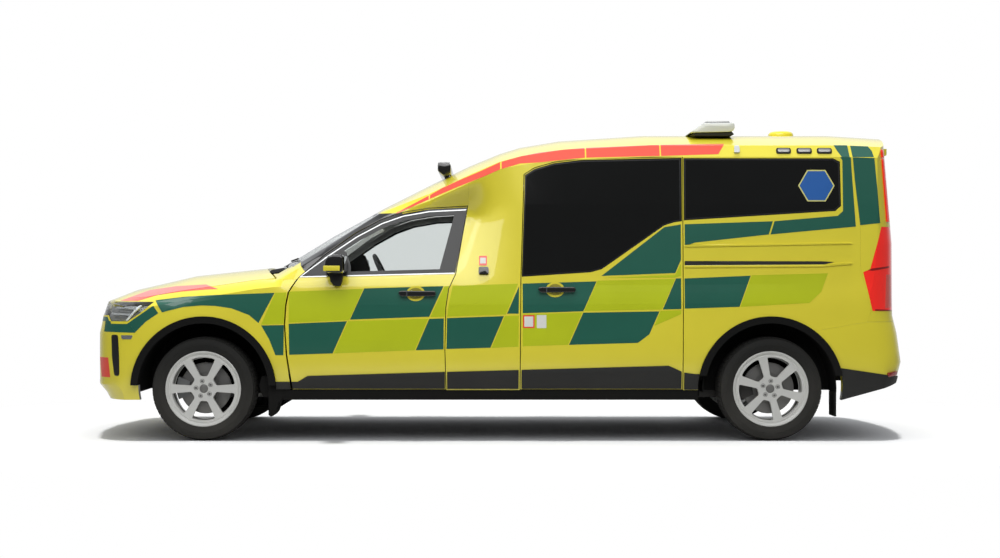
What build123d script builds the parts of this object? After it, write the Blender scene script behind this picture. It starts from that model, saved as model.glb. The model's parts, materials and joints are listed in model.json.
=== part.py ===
"""A high-roof ambulance on a long-wheelbase estate chassis, panel by panel.

Millimetres. +X is forward, +Y is the vehicle's left, +Z is up. The origin lies on the ground under
the middle of the vehicle. The body is one envelope, a loft of cross-sections cut to a plan shape,
and every panel, pane and lamp is a piece of the wall between two such envelopes.
"""

from build123d import *

import os
from math import cos, degrees, hypot, radians, sin

os.makedirs("parts", exist_ok=True)

# Overall sizes
WHEELBASE = 4100
FRONT_OVERHANG = 890
REAR_OVERHANG = 1085
HALF_WIDTH = 968
ROOF = 2280
BODY_BOTTOM = 292
DOOR_BOTTOM = 370
FLOOR_Z = (430, 470)
BELT = 1165
FRONT_AXLE = (FRONT_OVERHANG + WHEELBASE + REAR_OVERHANG) / 2 - FRONT_OVERHANG
REAR_AXLE = FRONT_AXLE - WHEELBASE

# Walls, panes and the gaps between panels
WALL = 60
BONNET_WALL = 30
PANE = 6
PANE_RECESS = 1
PANE_LIP = 28
SHUT = 6
SEAM = 0.4
PIN_FIT = 0.4

# Wheels
TRACK = 1670
TYRE_RADIUS = 374
TYRE_WIDTH = 275
RIM_RADIUS = 254
RIM_LIP = 16
RIM_WIDTH = 252
RIM_WALL = 9
HUB_RADIUS = 76
DISC_RADIUS = 185
DISC_WIDTH = 28
SPINDLE_RADIUS = 30
SPOKES = 6
ARCH_RADIUS = 474
ARCH_TRIM = 50
TRIM_FOOT = {FRONT_AXLE: 400, REAR_AXLE: 470}
LINER_GAP = 6
LINER_WALL = 6
LINER_BOTTOM = 345.4

# Suspension
KINGPIN_INSET = 45
KINGPIN_SPAN = 150
BALL_PIN_RADIUS = 12
ARM_HALF_WIDTH = 34
ARM_HEIGHT = 26
TOWER_Y = 430

# The side of the body: how far the sill tucks under, where it is widest, and the shoulder
SILL_TUCK = 52
WIDEST_Z = 660
SHOULDER_TUCK = 6


def ahead(distance):
    """X of a point this far ahead of the front axle."""
    return FRONT_AXLE + distance


def behind(distance):
    """X of a point this far behind the rear axle."""
    return REAR_AXLE - distance


# Cross-sections from nose to tail. Columns: X, shoulder Z, then pairs of how far in from the
# widest line and Z for the top of the side glass, the roof rail and the roof edge, then crown Z.
SECTIONS = [
    (ahead(952), 870, 28, 893, 43, 905, 108, 925, 960),
    (ahead(800), 890, 28, 915, 43, 930, 110, 960, 1020),
    (ahead(632), 925, 26, 950, 40, 965, 110, 1000, 1092),
    (ahead(202), 1000, 24, 1028, 38, 1042, 106, 1078, 1192),
    (ahead(-368), 1095, 28, 1118, 43, 1130, 118, 1162, 1253),
    (ahead(-508), 1110, 30, 1128, 46, 1142, 123, 1172, 1280),
    (ahead(-879), 1120, 86, 1330, 100, 1365, 153, 1402, 1507),
    (ahead(-1276), 1120, 176, 1590, 188, 1622, 233, 1658, 1722),
    (ahead(-1625), 1120, 193, 1680, 193, 1742, 220, 1795, ROOF - 377),
    (ahead(-1914), 1120, 193, 1698, 153, 1868, 182, 1928, ROOF - 237),
    (ahead(-2148), 1120, 100, 1705, 102, 1968, 132, ROOF - 254, ROOF - 142),
    (ahead(-2298), 1120, 43, 1710, 78, 1995, 110, ROOF - 218, ROOF - 95),
    (ahead(-2600), 1122, 30, 1710, 53, 2032, 88, ROOF - 172, ROOF - 45),
    (behind(-852), 1125, 30, 1710, 50, 2054, 90, ROOF - 140, ROOF - 2),
    (behind(548), 1135, 30, 1710, 50, 2052, 94, ROOF - 140, ROOF - 2),
    (behind(1148), 1140, 38, 1710, 68, 2035, 118, ROOF - 165, ROOF - 40),
]

# Plan outlines by height. Columns: Z, how far the nose and the tail stand in from their furthest.
OUTLINES = [
    (200, 130, 90),
    (340, 52, 62),
    (400, 2, 42),
    (560, 0, 0),
    (770, 0, 30),
    (900, 28, 62),
    (1000, 62, 64),
    (1425, 62, 66),
    (2125, 62, 125),
    (2400, 62, 145),
]
NOSE_SWEEP = 95
TAIL_SWEEP = 95
CORNER_IN = 208
NOSE_CORNER = (188, 88, 430)
TAIL_CORNER = (165, 80, 340)


def section_loft(inset):
    """The body as far as its cross-sections give it, this far inside the outer skin."""
    with BuildPart() as body:
        for x, shoulder, g_in, g_z, r_in, r_z, e_in, e_z, crown in SECTIONS:
            wide = HALF_WIDTH - inset
            bottom = BODY_BOTTOM - (20 if inset > 0 else 0)
            drop = 0.3 * inset
            left = [
                (wide - SILL_TUCK, bottom),
                (wide, WIDEST_Z),
                (wide - SHOULDER_TUCK, shoulder),
                (wide - g_in, g_z - drop),
                (wide - r_in, r_z - drop),
                (wide - e_in, e_z - inset),
            ]
            right = [(-y, z) for y, z in left]
            with BuildSketch(Plane.YZ.offset(x)):
                with BuildLine():
                    ThreePointArc(left[0], left[1], left[2])
                    Polyline(*left[2:])
                    ThreePointArc(left[-1], (0, crown - inset), right[-1])
                    Polyline(*reversed(right[2:]))
                    ThreePointArc(right[2], right[1], right[0])
                    Line(right[0], left[0])
                make_face()
        loft(ruled=True)
    return body.part


def plan_loft(inset):
    """Everything inside the plan outlines, this far in."""
    with BuildPart() as plan:
        for z, nose_in, tail_in in OUTLINES:
            nose = ahead(FRONT_OVERHANG) - nose_in - inset
            tail = behind(REAR_OVERHANG) + tail_in + inset
            wide = HALF_WIDTH + 4 - inset
            back, inwards, side = NOSE_CORNER
            front = [
                (nose - NOSE_SWEEP, wide - CORNER_IN),
                (nose - back, wide - inwards),
                (nose - side, wide),
            ]
            back, inwards, side = TAIL_CORNER
            rear = [
                (tail + side, wide),
                (tail + back, wide - inwards),
                (tail + TAIL_SWEEP, wide - CORNER_IN),
            ]
            with BuildSketch(Plane.XY.offset(z)):
                with BuildLine():
                    for sign in (1, -1):
                        ThreePointArc(*[(x, sign * y) for x, y in front])
                        Line((front[2][0], sign * wide), (rear[0][0], sign * wide))
                        ThreePointArc(*[(x, sign * y) for x, y in rear])
                    ThreePointArc((front[0][0], -front[0][1]), (nose, 0), front[0])
                    ThreePointArc((rear[2][0], -rear[2][1]), (tail, 0), rear[2])
                make_face()
        loft(ruled=True)
    return plan.part


ENVELOPES = {}


def envelope(inset):
    """The closed body form at this depth below the outer skin, made once for each depth."""
    if inset not in ENVELOPES:
        with BuildPart() as form:
            add(section_loft(inset))
            add(plan_loft(inset), mode=Mode.INTERSECT)
        ENVELOPES[inset] = form.part
    return ENVELOPES[inset]


SKINS = {}


def skin(outer, inner):
    """The wall between two depths below the outer skin, made once for each pair."""
    if (outer, inner) not in SKINS:
        with BuildPart() as wall:
            add(envelope(outer))
            add(envelope(inner), mode=Mode.SUBTRACT)
        SKINS[outer, inner] = wall.part
    return SKINS[outer, inner]


def side_prism(points, y_from=300, y_to=1200, grow=0):
    """An outline seen from the side, (X, Z), drawn out across the vehicle."""
    with BuildPart() as prism:
        with BuildSketch(Plane.XZ.offset(-y_from)):
            with BuildLine():
                Polyline(*points, close=True)
            make_face()
            if grow:
                offset(amount=grow, kind=Kind.INTERSECTION)
        extrude(amount=y_from - y_to)
    return prism.part


def plan_prism(points, z_from=800, z_to=2600, grow=0):
    """An outline seen from above, (X, Y), drawn upwards."""
    with BuildPart() as prism:
        with BuildSketch(Plane.XY.offset(z_from)):
            with BuildLine():
                Polyline(*points, close=True)
            make_face()
            if grow:
                offset(amount=grow, kind=Kind.INTERSECTION)
        extrude(amount=z_to - z_from)
    return prism.part


def tail_prism(points, x_from=-3200, x_to=-2600, grow=0):
    """An outline seen from behind, (Y, Z), drawn along the vehicle."""
    with BuildPart() as prism:
        with BuildSketch(Plane.YZ.offset(x_from)):
            with BuildLine():
                Polyline(*points, close=True)
            make_face()
            if grow:
                offset(amount=grow, kind=Kind.INTERSECTION)
        extrude(amount=x_to - x_from)
    return prism.part


def block(x, y, z):
    """A box given by its two X, two Y and two Z limits, in either order."""
    x, y, z = sorted(x), sorted(y), sorted(z)
    with BuildPart() as box:
        with Locations(((x[0] + x[1]) / 2, (y[0] + y[1]) / 2, (z[0] + z[1]) / 2)):
            Box(x[1] - x[0], y[1] - y[0], z[1] - z[0])
    return box.part


def rod(radius, start, end, bore=0):
    """A round bar between two points, with a bore right through if one is given."""
    axis = Vector(*end) - Vector(*start)
    with BuildPart() as bar:
        with BuildSketch(Plane(origin=start, z_dir=axis)):
            Circle(radius)
            if bore:
                Circle(bore, mode=Mode.SUBTRACT)
        extrude(amount=axis.length)
    return bar.part


def both_sides(part):
    """A left-hand piece with its mirror image on the right, as one compound."""
    return Compound(children=[*part.solids(), *mirror(part, about=Plane.XZ).solids()])


def right_hand(part):
    """The right-hand twin of a left-hand piece."""
    return mirror(part, about=Plane.XZ)


def main_solid(part):
    """The largest solid of a part, without scraps left by its cuts."""
    with BuildPart() as kept:
        add(part.solids().sort_by(SortBy.VOLUME)[-1])
    return kept.part


def save(part, name):
    """Write one piece as the node of this name."""
    part.label = name
    export_step(part, f"parts/{name}.step")


# Outlines of the left side, (X, Z)
DOOR_FRONT_EDGE = ahead(-594)
FRONT_DOOR = [
    (ahead(-645), DOOR_BOTTOM),
    (ahead(-608), 617),
    (DOOR_FRONT_EDGE, 840),
    (ahead(-603), 976),
    (ahead(-622), 1073),
    (ahead(-690), 1178),
    (ahead(-872), 1342),
    (ahead(-1090), 1499),
    (ahead(-1268), 1597),
    (ahead(-1420), 1652),
    (ahead(-1618), 1684),
    (ahead(-1905), 1700),
    (ahead(-1820), 1204),
    (ahead(-1771), 1100),
    (ahead(-1750), 962),
    (ahead(-1743), 658),
    (ahead(-1750), DOOR_BOTTOM),
]
FRONT_DOOR_PANE = [
    (ahead(-712), 1186),
    (ahead(-880), 1330),
    (ahead(-1096), 1485),
    (ahead(-1272), 1582),
    (ahead(-1422), 1636),
    (ahead(-1618), 1668),
    (ahead(-1884), 1680),
    (ahead(-1806), 1206),
]
SLIDE_FRONT = ahead(-2292)
SLIDE_REAR = behind(-636)
SLIDE_DOOR = [
    (SLIDE_FRONT, DOOR_BOTTOM),
    (ahead(-2298), 1184),
    (ahead(-2322), 1926),
    (ahead(-2395), 1972),
    (ahead(-2534), 2012),
    (ahead(-2730), 2036),
    (behind(-636), 2052),
    (SLIDE_REAR, DOOR_BOTTOM),
]
SLIDE_PANE = [
    (ahead(-2301), 1184),
    (ahead(-2326), 1922),
    (ahead(-2396), 1967),
    (ahead(-2535), 2007),
    (ahead(-2730), 2031),
    (behind(-640), 2046),
    (behind(-640), 1587),
    (behind(-700), 1577),
    (behind(-770), 1554),
    (ahead(-2880), 1239),
    (ahead(-2796), 1216),
]
QUARTER_PANE = [
    (behind(-626), 2044),
    (behind(458), 2043),
    (behind(508), 2018),
    (behind(512), 1697),
    (behind(470), 1660),
    (behind(-626), 1592),
]
REAR_PILLAR = [
    (behind(540), 2400),
    (behind(586), 2124),
    (behind(608), 1947),
    (behind(652), 1534),
    (behind(648), 1254),
    (behind(726), 958),
    (behind(690), 858),
    (behind(1300), 858),
    (behind(1300), 2400),
]
TAIL_LAMP = [
    (behind(734), 937),
    (behind(668), 1217),
    (behind(719), 1239),
    (behind(808), 1546),
    (behind(1300), 1546),
    (behind(1300), 937),
]
HEADLAMP = [
    (ahead(358), 1003),
    (ahead(460), 916),
    (ahead(545), 862),
    (ahead(1000), 862),
    (ahead(1000), 1003),
]
FRONT_BUMPER = [
    (ahead(400), 280),
    (ahead(400), 690),
    (ahead(552), 861),
    (ahead(1000), 861),
    (ahead(1000), 280),
]
REAR_BUMPER = [
    (behind(300), 280),
    (behind(300), 790),
    (behind(690), 857),
    (behind(1300), 857),
    (behind(1300), 280),
]
ROOF_REGION = [
    (ahead(-420), BELT),
    (ahead(-750), BELT),
    (ahead(-1350), 1500),
    (ahead(-1850), 1600),
    (ahead(-1912), 1704),
    (ahead(-1914), 1868),
    (ahead(-2148), 1968),
    (ahead(-2298), 1995),
    (ahead(-2600), 2032),
    (behind(-852), 2054),
    (behind(548), 2052),
    (behind(1148), 2035),
    (behind(1300), 2400),
    (behind(1300), 2600),
    (ahead(-420), 2600),
]

# Outlines from above, (X, Y), the left half; the right half is its mirror image
BONNET_HALF = [
    (ahead(-355), 0),
    (ahead(-380), 350),
    (ahead(-430), 600),
    (ahead(-503), 842),
    (ahead(-368), 850),
    (ahead(202), 862),
    (ahead(420), 858),
    (ahead(690), 730),
    (ahead(790), 480),
    (ahead(826), 0),
]
SCREEN_HALF = [
    (ahead(-478), 0),
    (ahead(-500), 350),
    (ahead(-545), 600),
    (ahead(-615), 798),
    (ahead(-900), 780),
    (ahead(-1240), 690),
    (ahead(-1210), 350),
    (ahead(-1196), 0),
]


def whole(half):
    """A plan outline from its left half."""
    return half + [(x, -y) for x, y in reversed(half[1:-1])]


def whole_ring(half):
    """A band across the vehicle from the outline of its left half, front edge first."""
    middle = len(half) // 2
    front, rear = half[:middle], half[middle:]
    mirrored_front = [(x, -y) for x, y in reversed(front[1:])]
    mirrored_rear = [(x, -y) for x, y in reversed(rear[:-1])]
    return front + rear + mirrored_rear + mirrored_front


def glazed(panel, outline, prism):
    """A panel with a rebate for a bonded pane and an opening inside its lip."""
    with BuildPart() as cut:
        add(panel)
        with BuildPart(mode=Mode.PRIVATE) as rebate:
            add(skin(-2, PANE_RECESS + PANE + SEAM))
            add(prism(outline, grow=SEAM), mode=Mode.INTERSECT)
        add(rebate.part, mode=Mode.SUBTRACT)
        add(prism(outline, grow=-PANE_LIP), mode=Mode.SUBTRACT)
    return cut.part


def pane(outline, prism):
    """The bonded pane that fills such a rebate."""
    with BuildPart() as glass:
        add(skin(PANE_RECESS, PANE_RECESS + PANE))
        add(prism(outline), mode=Mode.INTERSECT)
    return main_solid(glass.part)


def axle_round(x, radius, y_from, y_to):
    """A cylinder across the vehicle, round an axle line."""
    return rod(radius, (x, y_from, TYRE_RADIUS), (x, y_to, TYRE_RADIUS))


# The wall of the left half, with the wheel arches out
with BuildPart() as left_wall:
    add(skin(0, WALL))
    add(block((-3300, 3300), (0, 1300), (0, 2600)), mode=Mode.INTERSECT)
    for axle in (FRONT_AXLE, REAR_AXLE):
        add(axle_round(axle, ARCH_RADIUS + ARCH_TRIM + SEAM, 500, 1300), mode=Mode.SUBTRACT)
left_skin = left_wall.part

FRONT_HINGE_X = ahead(-678)
FRONT_HINGE_Y = HALF_WIDTH - 28
HINGE_HEIGHTS = (640, 980)
HINGE_PIN = 8
HINGE_POCKET = 35
WING_INNER_Y = 620
COWL_HALF = 842



def swept(x):
    """Where the wing must end to clear the door's front edge as it turns past the hinge."""
    reach = x - FRONT_HINGE_X
    if reach < 0:
        return x + 2 * SHUT
    return FRONT_HINGE_X + hypot(reach, HALF_WIDTH - FRONT_HINGE_Y) + SHUT - 0.5


DOOR_CLEAR = [(swept(x), z) for x, z in FRONT_DOOR[:6]] + FRONT_DOOR[6:]

# Front wings: from the door to the headlamp and the bumper, under the bonnet's edge
with BuildPart() as wing:
    add(left_skin)
    wing_region = [
        (ahead(-800), BODY_BOTTOM + 78),
        (ahead(-800), BELT - SEAM),
        (ahead(-420), BELT - SEAM),
        (ahead(-420), 1300),
        (ahead(1000), 1300),
        (ahead(1000), BODY_BOTTOM + 78),
    ]
    add(side_prism(wing_region, WING_INNER_Y), mode=Mode.INTERSECT)
    add(side_prism(DOOR_CLEAR), mode=Mode.SUBTRACT)
    add(side_prism(FRONT_DOOR, grow=SHUT), mode=Mode.SUBTRACT)
    add(side_prism(HEADLAMP, grow=SEAM), mode=Mode.SUBTRACT)
    add(side_prism(FRONT_BUMPER, grow=SEAM), mode=Mode.SUBTRACT)
    add(plan_prism(whole(BONNET_HALF), grow=SHUT), mode=Mode.SUBTRACT)
    add(block((ahead(-700), ahead(-430)), (0, COWL_HALF), (900, 1300)), mode=Mode.SUBTRACT)
wing_left = main_solid(wing.part)
save(wing_left, "wing_left")
save(right_hand(wing_left), "wing_right")

# Bonnet: a thinner panel over the engine, between the wings
NOSE_LINE = [
    (ahead(-900), 700),
    (ahead(-900), 1500),
    (ahead(900), 1500),
    (ahead(842), 1015),
    (ahead(802), 940),
    (ahead(600), 900),
    (ahead(200), 700),
]
with BuildPart() as bonnet:
    add(skin(0, BONNET_WALL))
    add(plan_prism(whole(BONNET_HALF)), mode=Mode.INTERSECT)
    add(side_prism(NOSE_LINE, -1200, 1200), mode=Mode.INTERSECT)
bonnet_panel = main_solid(bonnet.part)


# Bonnet hinges: an eye under each rear corner, on a pin carried by the cowl tray
BONNET_AXIS_X = ahead(-560)
BONNET_AXIS_Z = 1165
BONNET_HINGE_Y = (560, 600)
EYE_RADIUS = 16
EYE_REACH = 190
EYE_HEIGHT = 60
with BuildPart() as bonnet_with_eyes:
    for side in (1, -1):
        y_in, y_out = (side * y for y in BONNET_HINGE_Y)
        start, end = (BONNET_AXIS_X, y_in, BONNET_AXIS_Z), (BONNET_AXIS_X, y_out, BONNET_AXIS_Z)
        add(rod(EYE_RADIUS, start, end))
        add(
            block(
                (BONNET_AXIS_X + 4, BONNET_AXIS_X + EYE_REACH),
                (y_in, y_out),
                (BONNET_AXIS_Z - EYE_RADIUS, BONNET_AXIS_Z + 10),
            )
        )
        add(
            block(
                (BONNET_AXIS_X + EYE_REACH - 50, BONNET_AXIS_X + EYE_REACH),
                (y_in, y_out),
                (BONNET_AXIS_Z - EYE_RADIUS, BONNET_AXIS_Z + EYE_HEIGHT),
            )
        )
    add(envelope(BONNET_WALL / 2), mode=Mode.INTERSECT)
    add(bonnet_panel)
    for side in (1, -1):
        y_in, y_out = (side * y for y in BONNET_HINGE_Y)
        start = (BONNET_AXIS_X, y_in - side * 20, BONNET_AXIS_Z)
        end = (BONNET_AXIS_X, y_out + side * 20, BONNET_AXIS_Z)
        add(rod(HINGE_PIN + PIN_FIT, start, end), mode=Mode.SUBTRACT)
save(main_solid(bonnet_with_eyes.part), "bonnet")

# Headlamps, grille and front bumper, with a blind socket for a screw-in towing eye
TOW_RADIUS = 9
TOW_Y = -380
TOW_Z = 480
TOW_FLOOR = 75
GRILLE_HALF_WIDTH = 440
GRILLE_BOTTOM = 560
GRILLE = [
    (ahead(650), GRILLE_BOTTOM),
    (ahead(1000), GRILLE_BOTTOM),
    (ahead(1000), 1100),
    (ahead(852), 1015),
    (ahead(812), 937),
    (ahead(650), 900),
]
with BuildPart() as headlamp:
    add(left_skin)
    add(side_prism(HEADLAMP, GRILLE_HALF_WIDTH + SEAM), mode=Mode.INTERSECT)
    add(plan_prism(whole(BONNET_HALF), grow=SHUT), mode=Mode.SUBTRACT)
headlamp_left = main_solid(headlamp.part)
save(both_sides(headlamp_left), "headlamps")

with BuildPart() as grille:
    add(skin(0, WALL))
    add(side_prism(GRILLE, -GRILLE_HALF_WIDTH, GRILLE_HALF_WIDTH), mode=Mode.INTERSECT)
save(main_solid(grille.part), "grille")

with BuildPart() as front_bumper:
    add(skin(0, WALL))
    add(side_prism(FRONT_BUMPER, -1200, 1200), mode=Mode.INTERSECT)
    add(
        side_prism(GRILLE, -GRILLE_HALF_WIDTH, GRILLE_HALF_WIDTH, grow=SEAM),
        mode=Mode.SUBTRACT,
    )
    arch = ARCH_RADIUS + ARCH_TRIM + SEAM
    with BuildPart(mode=Mode.PRIVATE) as under_trim:
        add(axle_round(FRONT_AXLE, arch, -1300, 1300))
        above_trim = block((-3300, 3300), (-1300, 1300), (TRIM_FOOT[FRONT_AXLE] - SEAM, 1300))
        add(above_trim, mode=Mode.INTERSECT)
    add(under_trim.part, mode=Mode.SUBTRACT)
    add(axle_round(FRONT_AXLE, ARCH_RADIUS, -1300, 1300), mode=Mode.SUBTRACT)
    socket_from = (ahead(FRONT_OVERHANG - TOW_FLOOR), TOW_Y, TOW_Z)
    add(rod(TOW_RADIUS, socket_from, (ahead(FRONT_OVERHANG + 20), TOW_Y, TOW_Z)), mode=Mode.SUBTRACT)
save(main_solid(front_bumper.part), "front_bumper")

# Front doors with their hinges, panes and mirrors
with BuildPart() as door:
    add(left_skin)
    add(side_prism(FRONT_DOOR), mode=Mode.INTERSECT)
    for height in HINGE_HEIGHTS:
        low, high = height - HINGE_POCKET, height + HINGE_POCKET
        pocket = block(
            (FRONT_HINGE_X - 30, ahead(-500)),
            (700, FRONT_HINGE_Y + 14),
            (low, high),
        )
        add(pocket, mode=Mode.SUBTRACT)
        axis = (FRONT_HINGE_X, FRONT_HINGE_Y)
        hole = rod(HINGE_PIN + PIN_FIT, (*axis, low - 20), (*axis, high + 20))
        add(hole, mode=Mode.SUBTRACT)
door_left = main_solid(glazed(door.part, FRONT_DOOR_PANE, side_prism))
save(door_left, "front_door_left")
save(right_hand(door_left), "front_door_right")
door_pane_left = pane(FRONT_DOOR_PANE, side_prism)
save(door_pane_left, "front_door_glass_left")
save(right_hand(door_pane_left), "front_door_glass_right")

MIRROR_X = (ahead(-1034), ahead(-884))
MIRROR_Y = (HALF_WIDTH + 18, HALF_WIDTH + 190)
MIRROR_Z = (1204, 1348)
MIRROR_STEM_Z = 1172
with BuildPart() as mirror_left:
    add(block(MIRROR_X, MIRROR_Y, MIRROR_Z))
    fillet(mirror_left.edges(), 24)
    stem_x = (MIRROR_X[0] + 30, MIRROR_X[1] - 24)
    add(block(stem_x, (HALF_WIDTH - 60, MIRROR_Y[0] + 60), (MIRROR_STEM_Z, MIRROR_Z[0] + 14)))
    add(envelope(-SEAM), mode=Mode.SUBTRACT)
mirror_piece = main_solid(mirror_left.part)
save(mirror_piece, "door_mirror_left")
save(right_hand(mirror_piece), "door_mirror_right")

# Front pillars inside the body: they carry the wings, the cowl and the front door hinges
PILLAR_X = (ahead(-670), ahead(-600))
PILLAR_Y = (740, 826)
with BuildPart() as hinge_pillar:
    add(block(PILLAR_X, PILLAR_Y, (FLOOR_Z[1] + SEAM, 1060)))
    for height in HINGE_HEIGHTS:
        low, high = height - HINGE_POCKET, height + HINGE_POCKET
        axis = (FRONT_HINGE_X, FRONT_HINGE_Y)
        arm_x = (FRONT_HINGE_X - 10, FRONT_HINGE_X + 12)
        add(block(arm_x, (PILLAR_Y[1] - 10, FRONT_HINGE_Y), (low + 8, high - 8)))
        add(rod(HINGE_PIN, (*axis, low - 18), (*axis, high + 18)))
        add(rod(HINGE_PIN + 4, (*axis, low + 8), (*axis, high - 8)))
pillar_left = main_solid(hinge_pillar.part)
save(both_sides(pillar_left), "hinge_pillars")

# Windscreen, bonded into the roof and its pillars
save(pane(whole(SCREEN_HALF), plan_prism), "windscreen")

# Roof with the windscreen pillars: one moulding from the cowl to the tail
TAILGATE_TOP = 2112
TAILGATE_HALF = 735
SCREEN_FOOT_Y = 690
with BuildPart() as roof_wall:
    add(skin(0, WALL))
    add(side_prism(ROOF_REGION, -1200, 1200), mode=Mode.INTERSECT)
    add(side_prism(FRONT_DOOR, 300, 1200, grow=SHUT), mode=Mode.SUBTRACT)
    add(side_prism(FRONT_DOOR, -1200, -300, grow=SHUT), mode=Mode.SUBTRACT)
    add(plan_prism(whole(BONNET_HALF), grow=2 * SHUT), mode=Mode.SUBTRACT)
    add(block((ahead(-600), ahead(-300)), (-SCREEN_FOOT_Y, SCREEN_FOOT_Y), (1000, 1400)), mode=Mode.SUBTRACT)
    tail_opening = [
        (-TAILGATE_HALF - SHUT, 800),
        (TAILGATE_HALF + SHUT, 800),
        (TAILGATE_HALF + SHUT, TAILGATE_TOP + SHUT),
        (-TAILGATE_HALF - SHUT, TAILGATE_TOP + SHUT),
    ]
    add(tail_prism(tail_opening), mode=Mode.SUBTRACT)
glazed_roof = main_solid(glazed(roof_wall.part, whole(SCREEN_HALF), plan_prism))

# Tailgate hinges: pins in lugs under the roof's rear edge, through an eye on the tailgate
TAIL_AXIS = (behind(REAR_OVERHANG) + 125, TAILGATE_TOP)
TAIL_HINGE_Y = 400
TAIL_EYE_HALF = 20
TAIL_LUG = (26, 38)
TAIL_EYE_RADIUS = 13
TAIL_PIN = 6


def tail_rod(radius, y_from, y_to):
    """A bar along the tailgate's hinge axis."""
    x, z = TAIL_AXIS
    return rod(radius, (x, y_from, z), (x, y_to, z))


with BuildPart() as roof:
    add(glazed_roof)
    for hinge_y in (-TAIL_HINGE_Y, TAIL_HINGE_Y):
        add(tail_rod(TAIL_PIN, hinge_y - TAIL_LUG[1], hinge_y + TAIL_LUG[1]))
        for side in (1, -1):
            lug_y = [hinge_y + side * y for y in TAIL_LUG]
            add(tail_rod(TAIL_EYE_RADIUS, *sorted(lug_y)))
            lug_x = (TAIL_AXIS[0], TAIL_AXIS[0] + 60)
            add(block(lug_x, lug_y, (TAILGATE_TOP + SHUT, TAILGATE_TOP + 40)))
            bracket_x = (TAIL_AXIS[0] - TAIL_EYE_RADIUS, TAIL_AXIS[0] + 8)
            add(block(bracket_x, lug_y, (TAILGATE_TOP, TAILGATE_TOP + 40)))
save(main_solid(roof.part), "roof")

# Side walls: door pillar, rear quarter and what lies under the roof rail
with BuildPart() as side_wall:
    add(left_skin)
    foot = DOOR_BOTTOM - SHUT + SEAM
    region = [
        (ahead(-1700), foot),
        (behind(760), foot),
        (behind(760), 2200),
        (ahead(-1700), 2200),
    ]
    add(side_prism(region), mode=Mode.INTERSECT)
    add(side_prism(ROOF_REGION, grow=SEAM), mode=Mode.SUBTRACT)
    add(side_prism(FRONT_DOOR, grow=SHUT), mode=Mode.SUBTRACT)
    add(side_prism(SLIDE_DOOR, grow=SHUT), mode=Mode.SUBTRACT)
    add(side_prism(REAR_PILLAR, grow=SEAM), mode=Mode.SUBTRACT)
    add(side_prism(REAR_BUMPER, grow=SEAM), mode=Mode.SUBTRACT)
glazed_side = glazed(side_wall.part, QUARTER_PANE, side_prism)
with BuildPart() as door_pillar:
    add(glazed_side.solids().sort_by(SortBy.VOLUME)[-2])
with BuildPart() as quarter:
    add(glazed_side.solids().sort_by(SortBy.VOLUME)[-1])
save(both_sides(door_pillar.part), "door_pillars")
save(quarter.part, "rear_quarter_left")
save(right_hand(quarter.part), "rear_quarter_right")
quarter_pane = pane(QUARTER_PANE, side_prism)
save(both_sides(quarter_pane), "quarter_glass")

with BuildPart() as sliding_door:
    add(left_skin)
    add(side_prism(SLIDE_DOOR), mode=Mode.INTERSECT)
slide_left = main_solid(glazed(sliding_door.part, SLIDE_PANE, side_prism))
save(slide_left, "sliding_door_left")
save(right_hand(slide_left), "sliding_door_right")
save(both_sides(pane(SLIDE_PANE, side_prism)), "sliding_door_glass")

# Rear corner pillars with the tail lamps let into them
with BuildPart() as rear_pillar:
    add(left_skin)
    add(side_prism(REAR_PILLAR), mode=Mode.INTERSECT)
    add(side_prism(ROOF_REGION, grow=SEAM), mode=Mode.SUBTRACT)
    add(side_prism(TAIL_LAMP, grow=SEAM), mode=Mode.SUBTRACT)
    add(tail_prism(tail_opening), mode=Mode.SUBTRACT)
rear_pillar_left = main_solid(rear_pillar.part)
save(rear_pillar_left, "rear_pillar_left")
save(right_hand(rear_pillar_left), "rear_pillar_right")
with BuildPart() as tail_lamp:
    add(left_skin)
    add(side_prism(TAIL_LAMP), mode=Mode.INTERSECT)
    add(tail_prism(tail_opening), mode=Mode.SUBTRACT)
save(both_sides(main_solid(tail_lamp.part)), "tail_lamps")

# Tailgate, hinged along its top edge
TAILGATE = [
    (-TAILGATE_HALF, 864),
    (TAILGATE_HALF, 864),
    (TAILGATE_HALF, TAILGATE_TOP),
    (-TAILGATE_HALF, TAILGATE_TOP),
]
TAIL_PANE = [(-610, 1330), (610, 1330), (590, 1930), (-590, 1930)]
with BuildPart() as tailgate_wall:
    add(skin(0, WALL))
    add(tail_prism(TAILGATE), mode=Mode.INTERSECT)
tailgate_panel = main_solid(glazed(tailgate_wall.part, TAIL_PANE, tail_prism))
with BuildPart() as tailgate:
    add(tailgate_panel)
    for hinge_y in (-TAIL_HINGE_Y, TAIL_HINGE_Y):
        eye_y = (hinge_y - TAIL_EYE_HALF, hinge_y + TAIL_EYE_HALF)
        add(tail_rod(TAIL_EYE_RADIUS, *eye_y))
        arm_x = (TAIL_AXIS[0], TAIL_AXIS[0] + 50)
        add(block(arm_x, eye_y, (TAILGATE_TOP - 24, TAILGATE_TOP)))
        add(tail_rod(TAIL_PIN + PIN_FIT, eye_y[0] - 1, eye_y[1] + 1), mode=Mode.SUBTRACT)
save(main_solid(tailgate.part), "tailgate")
save(pane(TAIL_PANE, tail_prism), "tailgate_glass")

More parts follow.
